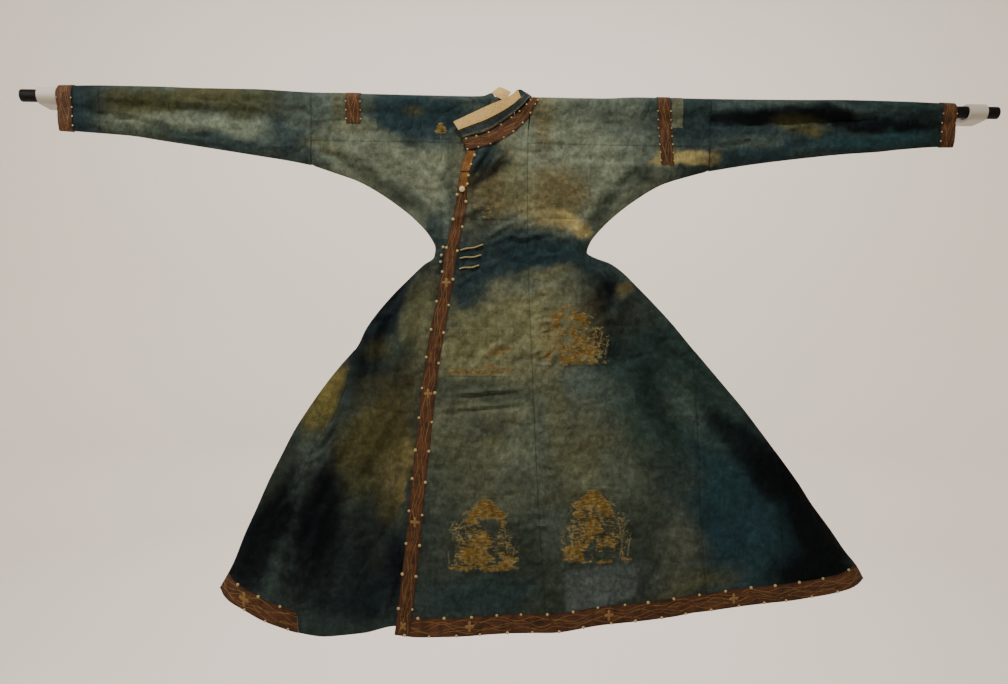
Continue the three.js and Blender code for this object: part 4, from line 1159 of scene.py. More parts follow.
def piece(name, obj, slot_name, *nodes):
    """Fixes a piece to the robe, in place of the nodes that it stands for."""
    obj.name = f"{name}_worn"
    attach(obj, "root")
    if nodes:
        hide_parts(*nodes)
    return obj


def add_panel(name, layer, rows, left, right, seams, step):
    """A panel of silk between two lines of a layer, given as x on each row."""
    x = across_row(left, right, step)
    h = rows[:, None]
    on_seam = np.zeros(x.shape)
    if seams in ("left", "both"):
        on_seam[:, 0] = 1
    if seams in ("right", "both"):
        on_seam[:, -1] = 1
    outer = place(layer, x, h, 0)
    inner = place(layer, x, h, -CLOTH)
    dipped = outer.copy()
    dipped[..., 1] -= OUTWARD[layer] * SEAM_DIP * on_seam
    tone = tone_at(layer, x, outer[..., 2])
    obj = add_wall(name, dipped, inner, silk, {"tone": tone, "seam": on_seam})
    piece(name, obj, "silk", name)


def rows_from(top):
    return ROWS[ROWS <= top + 1e-6]


def moved(line, by):
    return lambda h: line(h) + by


def beside_gore(name, top, sign):
    """A panel's side, which leaves a seam's gap beside the gore from its top down."""
    return lambda h: gore[name](h) + sign * np.where(h <= GORE_TOP[top], SEAM, 0.0)


def back_seam(h):
    return np.full(h.shape, float(BACK_SEAM_X))


def add_panels():
    low_left, low_right, corner = (rows_from(GORE_TOP[name]) for name in ("left", "right", "corner"))
    wrap = np.concatenate([np.linspace(WRAP_TOP, SHOULDER_SEAM_Z, 31), ROWS])
    wrap_side, right_side = moved(front_seam, -SEAM / 2), moved(front_seam, SEAM / 2)
    left_side, under_side = moved(inner_seam, -SEAM / 2), moved(inner_seam, SEAM / 2)
    corner_side = beside_gore("outer_corner", "corner", -1)
    panels = [  # name, layer, rows, left, right, stitched sides, step
        ("front_wrap", "outer", wrap, wrap_edge, wrap_side, "right", STEP),
        ("front_right", "outer", ROWS, right_side, beside_gore("outer_right", "right", -1),
         "both", STEP),
        ("front_gore_right", "outer", low_right, gore["outer_right"], corner_side, "both", STEP),
        ("front_corner_right", "outer", corner, gore["outer_corner"], side["right"], "left", STEP),
        ("front_left", "inner", ROWS, beside_gore("inner_left", "left", 1), left_side, "both", STEP),
        ("front_underlap", "inner", ROWS, under_side, underlap_edge, "left", UNDERLAP_STEP),
        ("front_gore_left", "inner", low_left, side["left"], gore["inner_left"], "right", STEP),
        ("back_left", "back", ROWS, beside_gore("back_left", "left", 1), moved(back_seam, -SEAM / 2),
         "both", BACK_STEP),
        ("back_right", "back", ROWS, moved(back_seam, SEAM / 2), beside_gore("back_right", "right", -1),
         "both", BACK_STEP),
        ("back_gore_left", "back", low_left, side["left"], gore["back_left"], "right", STEP),
        ("back_gore_right", "back", low_right, gore["back_right"], side["right"], "left", STEP),
    ]
    for name, layer, rows, left, right, seams, step in panels:
        add_panel(name, layer, rows, left(rows), right(rows), seams, step)


# ---------------------------------------------------------------- sleeves and shoulders over the rod
ARCS = np.radians(np.arange(12, 180, 12))  # stops over the rod, from the front to the back
ROD_BLEND = (-4, 8)  # y between which the front's tones give way to the back's


def over_rod(x, heights, out, front):
    """A section over the rod at each x: up the front, over the rod and down the back."""
    x = np.asarray(x, float)
    heights = np.broadcast_to(heights, (len(x), np.shape(heights)[-1]))
    columns = x if x.ndim > 1 else x[:, None]
    count, over = heights.shape[1], len(ARCS)
    columns = np.broadcast_to(columns, (len(x), 2 * count + over))
    low, high = columns[:, :count], columns[:, count + over :]
    top = columns[:, count : count + over]
    front_y = FACE[front](low, heights) - out
    back_y = FACE["back"](high, heights[:, ::-1]) + out
    front_part = np.stack([low, front_y, heights], -1)
    back_part = np.stack([high, back_y, heights[:, ::-1]], -1)
    arc_y = np.broadcast_to(-(OVER_ROD + out) * np.cos(ARCS), top.shape)
    arc = np.stack([top, arc_y, (top_edge(top) + out) * np.sin(ARCS)], -1)
    return np.concatenate([front_part, arc, back_part], 1)


# Heights of a sleeve's points, as shares of the way from the rod down to its bottom.
SHARES = np.concatenate([[0.985, 0.955, 0.91], np.linspace(0.86, 0, 18)])


def sleeve_grid(name, xs, out):
    """Rings round a sleeve, closed along its bottom fold."""
    bottom = sleeve_bottom[name](xs)
    heights = bottom[:, None] * SHARES
    section = over_rod(xs, heights, out, "inner")
    fold = EDGE_HALF + out
    ends = [np.stack([xs, np.full(len(xs), sign * fold), bottom - out], -1) for sign in (-1, 1)]
    return np.concatenate([ends[0][:, None], section, ends[1][:, None]], 1)


def tone_over_rod(grid, front):
    """Front and back of a tube have their own stains, and meet softly over the rod."""
    x, y, z = np.moveaxis(grid, -1, 0)
    return mix(tone_at(front, x, z), tone_at("back", x, z), smooth(y, *ROD_BLEND)[..., None])


def add_sleeve(name, side_name, start, end):
    xs = np.linspace(start, end, max(int(abs(end - start) / STEP), 4))
    inwards = math.copysign(SEAM_HALF, end - start)
    xs = np.sort(np.concatenate([xs, [start + inwards, end - inwards]]))
    if end < start:
        xs = xs[::-1]
    outer, inner = sleeve_grid(side_name, xs, 0), sleeve_grid(side_name, xs, -CLOTH)
    on_seam = np.zeros(outer.shape[:2])
    on_seam[0] = 1
    if name.startswith("sleeve"):
        on_seam[-1] = 1
    layers = {"tone": tone_over_rod(outer, "inner"), "seam": on_seam}
    piece(name, add_wall(name, outer, inner, silk, layers, ring=True), "silk", name)


# x of the neck's edge down the front, over the rod and down the back.
NECK_EDGE = {
    "left": {
        "front": [70, 45, 12, -20, -44, -54],
        "over": [-58, -63, -65, -60, -46],
        "back": [-26.15, -10.15, -10.15, -10.15, -10.15, -10.15],
    },
    "right": {
        "front": [22.15, 23.15, 25.15, 27.15, 27.15, 28.15],
        "over": [30, 35, 38, 36, 28],
        "back": [10.15, -9.85, -9.85, -9.85, -9.85, -9.85],
    },
}
SHOULDER_HEIGHTS = [SHOULDER_SEAM_Z, -75, -50, -32, -14, 0]
SHOULDER_TURNS = [30, 60, 90, 120, 150]


def neck_edge(name, heights):
    """x of the neck edge along a shoulder's stops, front, over the rod and back."""
    rows = NECK_EDGE[name]
    front = np.interp(heights, SHOULDER_HEIGHTS, rows["front"])
    ends = [rows["front"][-1], *rows["over"], rows["back"][0]]
    over = np.interp(np.degrees(ARCS), [0, *SHOULDER_TURNS, 180], ends)
    back = np.interp(heights[::-1], SHOULDER_HEIGHTS, rows["back"][::-1])
    return np.concatenate([front, over, back])


def add_shoulder(name, side_name, front):
    heights = np.linspace(SHOULDER_SEAM_Z, 0, 18)
    neck = neck_edge(side_name, heights)
    columns = int(abs(neck - SLEEVE_SEAM[side_name]).max() / STEP)
    x = mix(float(SLEEVE_SEAM[side_name]), neck[:, None], np.linspace(0, 1, columns))
    outer, inner = (over_rod(x.T, heights, out, front).transpose(1, 0, 2) for out in (0, -CLOTH))
    on_seam = np.zeros(x.shape)
    on_seam[0] = on_seam[-1] = 1
    on_seam[:, 0] = 1
    layers = {"tone": tone_over_rod(outer, front), "seam": on_seam}
    piece(name, add_wall(name, outer, inner, silk, layers), "silk", name)


# ---------------------------------------------------------------- borders and bands
BAND_LIFT = 0.5  # how far a band's underside lies off its panel
BAND_TOP = BAND_LIFT + TRIM
BAND_COLUMNS = 9
HEM_STEP = 8
KNOT_OUT = BAND_LIFT + TRIM * 0.6
KNOT_GAP = 58
KNOT_RADIUS = 3.5
NECK_KNOT_RADIUS = 2.2
ARM_KNOT_RADIUS = 1.8
CUFF_KNOT_RADIUS = 2.0
NECK_BORDER_LIFT = 0.9


def run_along(grid, axis):
    """How far each point lies along the band, measured down its middle."""
    middle_line = np.take(grid, grid.shape[1 - axis] // 2, axis=1 - axis)
    steps = np.linalg.norm(np.diff(middle_line, axis=0), axis=-1)
    run = np.concatenate([[0], np.cumsum(steps)])
    shape = (-1, 1) if axis == 0 else (1, -1)
    return np.broadcast_to(run.reshape(shape), grid.shape[:2])


def add_band(name, over, under, u, axis, material=None, ring=False):
    """The wall of a band that runs along an axis of its grids, with u from -1 to 1 across it."""
    layers = {"across": u, "along": run_along(over, axis) * MM}
    obj = add_wall(name, over, under, material or border, layers, ring)
    return piece(name, obj, "border", name)


def plump(u):
    """A band's thickness, a little less at its edges."""
    return TRIM * (1 - 0.45 * np.abs(u) ** 6)


def add_down_band(name, layer, rows, left, right, material=None):
    """A band that runs down a layer between two lines."""
    h = rows[:, None]
    u = np.linspace(-1, 1, BAND_COLUMNS) + np.zeros_like(h)
    x = mix(left[:, None], right[:, None], (u + 1) / 2)
    over, under = place(layer, x, h, BAND_LIFT + plump(u)), place(layer, x, h, BAND_LIFT)
    return add_band(name, over, under, u, 0, material)


def add_hem_band(name, layer, left, right):
    """A band along the hem of a layer, from one x to another on each row."""
    rows = np.linspace(HEM_BORDER_Z, HEM_Z, BAND_COLUMNS)
    x = across_row(left(rows), right(rows), HEM_STEP)
    h = rows[:, None]
    u = np.linspace(1, -1, BAND_COLUMNS)[:, None] + np.zeros_like(x)
    over, under = place(layer, x, h, BAND_LIFT + plump(u)), place(layer, x, h, BAND_LIFT)
    return add_band(name, over, under, u, 1)


def circle(sides):
    return [2 * math.pi * s / sides for s in range(sides)]


def add_knots(name, centres, radius, layer, on):
    """Small half-round knots of cream thread."""
    rings, sides, high = 3, 10, 0.55
    points, faces = [], []
    rng = np.random.default_rng(5)
    for centre in centres:
        size = radius * rng.uniform(0.85, 1.15)
        start = len(points)
        for k in range(rings):
            rise = k / rings * math.pi / 2
            reach, y = size * math.cos(rise), OUTWARD[layer] * size * high * math.sin(rise)
            for turn in circle(sides):
                points.append(centre + [reach * math.cos(turn), y, reach * math.sin(turn)])
        points += [centre + [0, OUTWARD[layer] * size * high, 0], centre]
        faces += (start + grid_faces(rings, sides, ring=True)).tolist()
        last, tip = start + (rings - 1) * sides, start + rings * sides
        faces += [(last + s, last + (s + 1) % sides, tip) for s in range(sides)]
        faces += [(start + (s + 1) % sides, start + s, tip + 1) for s in range(sides)]
    obj = add_mesh(name, points, faces, pearl, sharp=80)
    on.append(piece(name, obj, "border"))


def add_flowers(name, spots, layer, on):
    """Flat four-petalled flowers; spots are x, row, radius and turn in degrees."""
    points, faces = [], []
    sides = 48
    for x, h, radius, turn in spots:
        angles = np.linspace(0, 2 * math.pi, sides, endpoint=False)
        reach = radius * (0.34 + 0.66 * np.abs(np.cos(2 * angles)) ** 1.3)
        tilt = angles + math.radians(turn)
        start = len(points)
        for out, share in ((0.05, 1), (0.8, 0.9)):
            petals = x + reach * np.cos(tilt) * share, h + reach * np.sin(tilt) * share
            points.extend(place(layer, *petals, BAND_TOP + out))
        points += [place(layer, x, h, BAND_TOP + 1.1), place(layer, x, h, BAND_TOP)]
        for s in range(sides):
            a, b = start + s, start + (s + 1) % sides
            faces.append((a, b, b + sides, a + sides))
            faces.append((a + sides, b + sides, start + 2 * sides))
            faces.append((b, a, start + 2 * sides + 1))
    obj = add_mesh(name, points, faces, petal, sharp=60)
    on.append(piece(name, obj, "border"))


def spaced(start, end, gap, seed):
    """Places from start to end at a nearly even gap."""
    count = max(int(abs(end - start) / gap), 1)
    places = np.linspace(start, end, count + 1)
    return places + np.random.default_rng(seed).uniform(-0.06, 0.06, count + 1) * gap


ON_FRONT, ON_LEFT, ON_BACK, ON_SLEEVES = [], [], [], []  # what is sewn on each part of the robe
SEWN_ON = {"outer": ON_FRONT, "inner": ON_LEFT, "back": ON_BACK}


def border_right(h):
    return wrap_edge(h) + border_width(h)


def border_middle(h):
    return float(wrap_edge(h) + border_width(h) / 2)


def add_borders():
    bands = [  # name, top, bottom, how many rows, material
        ("border_tab_upper", -118, -166, 16, tab_cloth),
        ("border_tab_lower", -169, -203, 12, tab_cloth),
        ("border_front", -206, HEM_BORDER_Z, 180, border),
        ("border_corner", HEM_BORDER_Z - 1, HEM_Z, 9, border),
    ]
    for name, top, low, count, material in bands:
        rows = np.linspace(top, low, count)
        band = add_down_band(name, "outer", rows, wrap_edge(rows), border_right(rows), material)
        ON_FRONT.append(band)
    hems = [
        ("border_hem_front", "outer", moved(border_right, SEAM), side["right"]),
        ("border_hem_left", "inner", side["left"], gore["inner_left"]),
        ("border_hem_back_left", "back", side["left"], moved(back_seam, -SEAM / 2)),
        ("border_hem_back_right", "back", moved(back_seam, SEAM / 2), side["right"]),
    ]
    for name, layer, left, right in hems:
        SEWN_ON[layer].append(add_hem_band(name, layer, left, right))


def add_hem_knots(name, layer, upper_x, lower_x):
    upper = place(layer, upper_x, HEM_BORDER_Z - 1.0, KNOT_OUT)
    lower = place(layer, lower_x, HEM_Z + 1.5, KNOT_OUT)
    add_knots(name, np.concatenate([upper, lower]), KNOT_RADIUS, layer, SEWN_ON[layer])


def add_border_knots():
    """Knots down both edges of the front border, then along the hems."""
    left, right = spaced(-222, -1085, KNOT_GAP, 1), spaced(-236, -1085, KNOT_GAP, 2)
    tabs = np.array([-128, -150, -176, -196])
    knots = [
        place("outer", wrap_edge(left) + 1.2, left, KNOT_OUT),
        place("outer", border_right(right) - 1.2, right, KNOT_OUT),
        place("outer", border_right(tabs) - 1, tabs, KNOT_OUT),
    ]
    add_knots("knots_front", np.concatenate(knots), KNOT_RADIUS, "outer", ON_FRONT)
    upper, lower = spaced(-225, 800, KNOT_GAP, 3), spaced(-262, 770, KNOT_GAP, 4)
    add_hem_knots("knots_hem", "outer", upper, lower)
    left = spaced(-650, -548, 50, 6)
    add_hem_knots("knots_left", "inner", left, left + 18)
    back = spaced(-630, 790, KNOT_GAP, 7)
    add_hem_knots("knots_back", "back", back, back)


def add_border_flowers():
    rows = [float(row_through("outer", border_middle(z), z)) for z in (-431, -695, -995)]
    hem = (HEM_BORDER_Z + HEM_Z) / 2
    spots = [(border_middle(h), h, 10.5, 0) for h in rows]
    spots += [(x, hem, 11, 0) for x in (-107, 221, 517)]
    spots.append((border_middle(hem), hem, 9, 45))
    add_flowers("flowers_front", spots, "outer", ON_FRONT)
    add_flowers("flowers_left", [(-633, hem, 12, 0)], "inner", ON_LEFT)
    add_flowers("flowers_back", [(x, hem, 13, 0) for x in (-420, -130, 170, 470)], "back", ON_BACK)


def filled(rows, count):
    """The columns of a table, smoothly filled in to that many stations, and the stations."""
    stops, fine = np.arange(len(rows)), np.linspace(0, len(rows) - 1, count)
    columns = np.array(rows, float).T
    return [curve(list(zip(stops, column)))(fine)[:, None] for column in columns], fine


def add_neck_border():
    (up_x, up_z, low_x, low_z), _ = filled(NECK_BORDER, 64)
    t = np.linspace(0, 1, BAND_COLUMNS)
    x, h = mix(up_x, low_x, t), mix(up_z, low_z, t)
    u = np.broadcast_to(1 - 2 * t, x.shape)
    over = place("outer", x, h, NECK_BORDER_LIFT + TRIM)
    under = place("outer", x, h, NECK_BORDER_LIFT)
    ON_FRONT.append(add_band("border_neck", over, under, u, 0))
    picks = np.linspace(2, 61, 9).astype(int)
    out = NECK_BORDER_LIFT + TRIM * 0.6
    upper = place("outer", x[picks, 0] + 0.5, h[picks, 0] - 1, out)
    lower = place("outer", x[picks - 1, -1] - 0.5, h[picks - 1, -1] + 1, out)
    add_knots("knots_neck", np.concatenate([upper, lower]), NECK_KNOT_RADIUS, "outer", ON_FRONT)


def add_arm_band(name, low, top_x, low_x, wide, front):
    """A band over the upper arm, whose left edge leans from top_x to low_x."""
    heights = np.linspace(low, 0, int(-low / 5) + 2)
    stops = np.concatenate([heights, np.zeros(len(ARCS)), heights[::-1]])
    left = mix(top_x, low_x, np.clip(stops / low, 0, 1))
    t = np.linspace(0, 1, BAND_COLUMNS)
    x = (left[:, None] + wide * t).T
    u = np.broadcast_to(2 * t - 1, (len(stops), len(t)))
    over, under = (
        over_rod(x, heights, out, front).transpose(1, 0, 2) for out in (BAND_TOP, BAND_LIFT)
    )
    ON_SLEEVES.append(add_band(name, over, under, u, 0))
    rows = np.arange(2, len(heights), 4)
    knots = np.concatenate([over[rows, 0], over[rows, -1]])
    add_knots(f"knots_{name}", knots, ARM_KNOT_RADIUS, "outer", ON_SLEEVES)


def add_cuff_border(name, side_name):
    end = CUFF_END[side_name]
    xs = np.linspace(end + math.copysign(CUFF_BORDER, -end), end, BAND_COLUMNS)
    over, under = sleeve_grid(side_name, xs, BAND_TOP), sleeve_grid(side_name, xs, BAND_LIFT)
    u = np.broadcast_to(np.linspace(-1, 1, BAND_COLUMNS)[:, None], over.shape[:2])
    ON_SLEEVES.append(add_band(name, over, under, u, 1, ring=True))
    rows = np.arange(4, len(SHARES), 5)
    knots = np.concatenate([over[0, rows], over[-1, rows]])
    add_knots(f"knots_{name}", knots, CUFF_KNOT_RADIUS, "outer", ON_SLEEVES)


# ---------------------------------------------------------------- collar
COLLAR_STATIONS = 70
LINING_FROM = 0.48  # the share of the band's width from which its lining is turned out
INNER_COLLAR = {"face_y": -17.9, "wall": 1.4, "lean_back": 8}
BACK_COLLAR = {"face_y": 18.2, "top": 23}
COLLAR_TONE = linear("#232b2c")


def collar_grid(out, shares):
    """The collar's surface from its foot (0) to its fold (1), moved out."""
    low, up = [], []
    for low_x, low_z, up_x, up_z, up_y in COLLAR:
        low.append(place("outer", low_x, low_z))
        up.append([up_x, up_y, up_z])
    for *foot, up_x, up_y, up_z in COLLAR_TURN:
        low.append(foot)
        up.append([up_x, up_y, up_z])
    fine = filled(low, COLLAR_STATIONS)[1]
    low, up = (np.concatenate(filled(line, COLLAR_STATIONS)[0], 1) for line in (low, up))
    outwards = np.cross(np.gradient(low + up, axis=0), up - low)
    outwards /= np.linalg.norm(outwards, axis=-1, keepdims=True)
    t = np.asarray(shares)[:, None]
    points = low[:, None] + (up - low)[:, None] * t
    uneven = cloud(fine[:, None] * 9, t[:, 0] * 40, 14, 8)[..., None]
    return points + outwards[:, None] * (out + (0.9 * np.sin(np.pi * t) + 0.25 * uneven)), fine


def add_collar():
    shares = np.linspace(0, 1, 14)
    outer, fine = collar_grid(0, shares)
    inner, _ = collar_grid(-CLOTH, shares)
    uneven = cloud(fine[:, None] * 12, shares * 40, 30, 9)[..., None]
    tone = np.broadcast_to(COLLAR_TONE, outer.shape) * (1 + 0.35 * uneven)
    on_seam, thread = np.zeros(outer.shape[:2]), np.zeros(outer.shape[:2])
    on_seam[:, 0] = 0.8
    thread[:, 1] = thread[:, 6] = 0.6
    layers = {"tone": tone, "seam": on_seam, "thread": thread}
    piece("collar_band", add_wall("collar_band", outer, inner, silk, layers), "silk", "collar_band")
    lined = (len(COLLAR) - 1) / (len(COLLAR) + len(COLLAR_TURN) - 1)
    stations = int(round(lined * (COLLAR_STATIONS - 1))) + 1
    turned = np.linspace(LINING_FROM, 1, 9)
    over, under = (collar_grid(out, turned)[0][:stations] for out in (SEAM + TRIM, SEAM))
    piece("collar_lining", add_wall("collar_lining", over, under, lining), "lining", "collar_lining")


def add_inner_collar():
    (up_x, up_z, low_x, low_z), fine = filled(INNER_COLLAR_ENDS, 20)
    t = np.linspace(0, 1, 8)
    lean = INNER_COLLAR["lean_back"] * (1 - fine / 2) ** 2
    y = INNER_COLLAR["face_y"] + lean[:, None] + 0.8 * (1 - np.sin(np.pi * t))
    outer = np.stack([mix(up_x, low_x, t), y, mix(up_z, low_z, t)], -1)
    obj = add_wall("collar_inner_end", outer, outer + [0, INNER_COLLAR["wall"], 0], lining)
    piece("collar_inner_end", obj, "lining", "collar_inner_end")


def add_back_collar():
    x = np.linspace(BACK_COLLAR_FOOT[0][0], BACK_COLLAR_FOOT[-1][0], 24)[:, None]
    z = mix(np.interp(x, *zip(*BACK_COLLAR_FOOT)), BACK_COLLAR["top"], np.linspace(0, 1, 8))
    outer = np.stack([x + np.zeros_like(z), BACK_COLLAR["face_y"] + np.zeros_like(z), z], -1)
    tone = np.broadcast_to(DYE["slate"], outer.shape)
    obj = add_wall("collar_back", outer, outer - [0, CLOTH, 0], silk, {"tone": tone})
    piece("collar_back", obj, "silk", "collar_back")


# ---------------------------------------------------------------- buttons and cords
BUTTONS = [  # name, layer, x, z, radius, thickness, how far out
    ("button_front", "outer", -134, -209, 7, 5, SEAM + TRIM + 0.7),
    ("button_waist_1", "inner", -178, -346, 3.4, 4, 1.3),
    ("button_waist_2", "inner", -182, -365, 3.4, 4, 1.5),
    ("button_waist_3", "inner", -184, -381, 3.4, 4, 1.2),
]
# Rings of a button, from its seat to its face: shares of its radius and of its thickness.
BUTTON_RINGS = table(2, "0.8 0  0.95 0.2  1 0.42  0.93 0.68  0.8 0.84  0.72 0.8  0.62 0.86  0.35 0.98")
BUTTON_SIDES = 32
CORDS = [(-137, -354, -83, -341), (-138, -373, -87, -366), (-139, -398, -92, -390)]
CORD_RADIUS = 1.8
CORD_TWISTS = 9


def add_buttons():
    for name, layer, x, z, radius, thick, out in BUTTONS:
        seat = place(layer, x, row_through(layer, x, z), out)
        points = [seat]
        for share, up in BUTTON_RINGS:
            reach = radius * share
            for turn in circle(BUTTON_SIDES):
                points.append(seat + [reach * math.cos(turn), -thick * up, reach * math.sin(turn)])
        points.append(seat + [0, -thick, 0])
        sides, last = BUTTON_SIDES, len(points) - 1 - BUTTON_SIDES
        faces = [(0, 1 + s, 1 + (s + 1) % sides) for s in range(sides)]
        faces += (1 + grid_faces(len(BUTTON_RINGS), sides, ring=True)[:, [0, 3, 2, 1]]).tolist()
        faces += [(last + s, last + sides, last + (s + 1) % sides) for s in range(sides)]
        obj = add_mesh(name, points, faces, button if name == "button_front" else pearl, sharp=60)
        ON_FRONT.append(piece(name, obj, "button", name))


def unit(vectors):
    return vectors / np.linalg.norm(vectors, axis=1, keepdims=True)


def add_cord(name, from_x, from_z, to_x, to_z):
    """A cord of two strands twisted together."""
    t = np.linspace(0, 1, 60)
    x = mix(from_x, to_x, t)
    z = mix(from_z, to_z, t) + 1.2 * np.sin(2.4 * math.pi * t)
    line = place("outer", x, row_through("outer", x, z), CORD_RADIUS + 0.7)
    along = unit(np.gradient(line, axis=0))
    out = unit(np.cross(along, [0, 1, 0]))
    up = np.cross(along, out)
    turns = np.linspace(0, 2 * math.pi, 16, endpoint=False)
    reach = CORD_RADIUS * (0.72 + 0.28 * np.abs(np.cos(turns - 2 * math.pi * CORD_TWISTS * t[:, None])))
    spread = np.cos(turns)[:, None] * out[:, None] + np.sin(turns)[:, None] * up[:, None]
    ring = line[:, None] + reach[..., None] * spread
    points = np.concatenate([ring.reshape(-1, 3), line[:1], line[-1:]])
    count, sides = len(line), len(turns)
    faces = grid_faces(count, sides, ring=True)
    start = (count - 1) * sides
    caps = [(count * sides, (s + 1) % sides, s) for s in range(sides)]
    caps += [(count * sides + 1, start + s, start + (s + 1) % sides) for s in range(sides)]
    both = faces.tolist() + caps
    if turned_out(points, faces) is not faces:
        both = [face[::-1] for face in both]
    ON_FRONT.append(piece(name, add_mesh(name, points, both, cord_silk, sharp=80), "cord", name))


# ---------------------------------------------------------------- worn gold patterns
PATCH_STEP = 2.0
PATCH_LIFT = 0.75
PATCH_RELIEF = 0.25
DESIGN_HALF = 90.0  # half the size at which the designs are drawn
# The designs' parts, in their own units from the middle: places, then sizes.
ROCKS = [(-16, -46, 44, 22), (20, -56, 54, 18), (-2, -24, 32, 20), (46, -58, 34, 14), (10, 0, 18, 24)]
HAZE = [(0, -76, 84, 7, 0.8), (4, -30, 74, 56, 0.44), (6, 30, 42, 50, 0.40)]
TRUNK = [(8, -40), (13, -18), (6, 4), (15, 26), (10, 44)]
CROWNS = [(8, 54, 30), (-14, 46, 20), (32, 44, 22), (6, 70, 18), (-26, 30, 14), (40, 24, 16)]
REEDS = [(-58, -70, 6), (-64, -52, 20), (52, 66, -4), (60, 52, 14), (70, 78, -18), (-76, -84, -16)]
BIRDS = [(-62, 14, 9), (50, 42, 10), (-44, 48, 9)]


def disc(u, v, at_u, at_v, wide, high, soft):
    far = np.hypot((u - at_u) / wide, (v - at_v) / high)
    return 1 - smooth(far, 1 - soft, 1 + soft)


def stroke(u, v, points, width):
    away, _ = to_line(points, u, v)
    return 1 - smooth(away, width * 0.5, width * 1.2)


def garden(u, v, rng):
    """A pine on a rocky mound among reeds, with birds: solid gold and pale outline thread."""
    gold, thread = np.zeros(u.shape), np.zeros(u.shape)

    def fill(mask, level=1.0):
        np.maximum(gold, mask * level, out=gold)

    def line(points, width, level=1.0):
        np.maximum(thread, stroke(u, v, points, width) * level, out=thread)

    for rock in ROCKS:
        fill(disc(u, v, *rock, 0.3))
    for *haze, level in HAZE:
        fill(disc(u, v, *haze, 0.4), level)
    fill(stroke(u, v, TRUNK, 4.5))
    line(TRUNK, 1.6)
    for at_u, at_v, wide in CROWNS:
        fill(disc(u, v, at_u, at_v, wide, wide * 0.55, 0.35))
        turns = np.linspace(0, math.pi, 9)
        line(np.stack([at_u + wide * np.cos(turns), at_v + wide * 0.55 * np.sin(turns)], 1), 0.9, 0.8)
    for at_u, tip_u, tip_v in REEDS:
        line([(at_u, -66), ((at_u + tip_u) / 2, (tip_v - 66) / 2 + 9), (tip_u, tip_v)], 1.2)
        for k in range(3):
            t = 0.45 + 0.22 * k
            leaf = np.array([mix(at_u, tip_u, t), mix(-66, tip_v, t)])
            line([leaf, leaf + (8 - 16 * (k % 2), 7)], 1.0)
    for at_u, at_v, size in BIRDS:
        line([(at_u - size, at_v + size * 0.6), (at_u, at_v), (at_u + size, at_v + size * 0.6)], 1.3)
        line([(at_u - size * 0.4, at_v - size * 0.5), (at_u + size * 0.7, at_v + size * 0.15)], 1.5)
    for _ in range(110):
        start = np.array([rng.uniform(-80, 80), rng.uniform(-78, 30)])
        line([start, start + rng.normal(0, 5, 2), start + rng.normal(0, 8, 2)], 0.8, 0.9)
    return gold, thread


def lattice(u, v, rng):
    """A worn bed of low plants and fret lines in broken gold."""
    gold, thread = np.zeros(u.shape), np.zeros(u.shape)
    for _ in range(16):
        at = (rng.uniform(-78, 78), rng.uniform(-70, 20))
        size = (rng.uniform(10, 26), rng.uniform(4, 9))
        np.maximum(gold, 0.8 * disc(u, v, *at, *size, 0.5), out=gold)
    np.maximum(gold, 0.9 * disc(u, v, 0, -70, 84, 9, 0.5), out=gold)
    for k in range(120):
        start = np.array([rng.uniform(-82, 82), rng.uniform(-78, 70)])
        end = start + rng.uniform(4, 15) * np.array([(1, 0), (0, 1), (0.7, 0.7)][k % 3])
        np.maximum(thread, 0.8 * stroke(u, v, [start, end], 0.9), out=thread)
    return gold, thread


def bush(u, v, _):
    """A round bush on its stem."""
    gold = disc(u, v, 0, 22, 52, 46, 0.3)
    for at in [(-44, -4), (40, 0), (0, 62)]:
        np.maximum(gold, disc(u, v, *at, 28, 24, 0.3), out=gold)
    np.maximum(gold, stroke(u, v, [(0, 0), (2, -78)], 7), out=gold)
    return gold, np.zeros(u.shape)


def stripes(u, v):
    """Fine bars of gold with broken lines of thread beside them."""
    phase = u * 2 * math.pi / 26
    gold = smooth(np.cos(phase), 0.0, 0.6) * 0.55
    thread = 0.7 * smooth(np.cos(phase + 2.2) + 0.4 * np.cos(v * 1.1), 0.8, 1.2)
    return gold, thread


PATCHES = [  # name, layer, centre x, z, wide, high, design, mirrored, strength
    ("gold_low_left", "outer", -79, -1024, 182, 186, garden, 1, 1.0),
    ("gold_low_right", "outer", 190, -1003, 178, 190, garden, -1, 1.0),
    ("gold_mid_right", "outer", 134, -550, 184, 158, garden, -1, 1.0),
    ("gold_mid_left", "outer", -92, -596, 174, 120, lattice, 1, 0.8),
    ("gold_chest_right", "outer", 104, -197, 142, 162, lattice, 1, 0.42),
    ("gold_chest_left", "outer", -58, -250, 116, 64, lattice, -1, 0.42),
    ("gold_neck", "outer", 72, -68, 62, 56, lattice, -1, 0.4),
    ("gold_bush", "inner", -186, -69, 38, 43, bush, 1, 0.75),
    ("gold_back_left", "back", -150, -620, 180, 170, garden, 1, 0.7),
    ("gold_back_right", "back", 140, -620, 180, 170, garden, -1, 0.7),
    ("gold_back_low_left", "back", -190, -1010, 182, 186, garden, 1, 0.9),
    ("gold_back_low_right", "back", 190, -1000, 182, 186, garden, -1, 0.9),
]


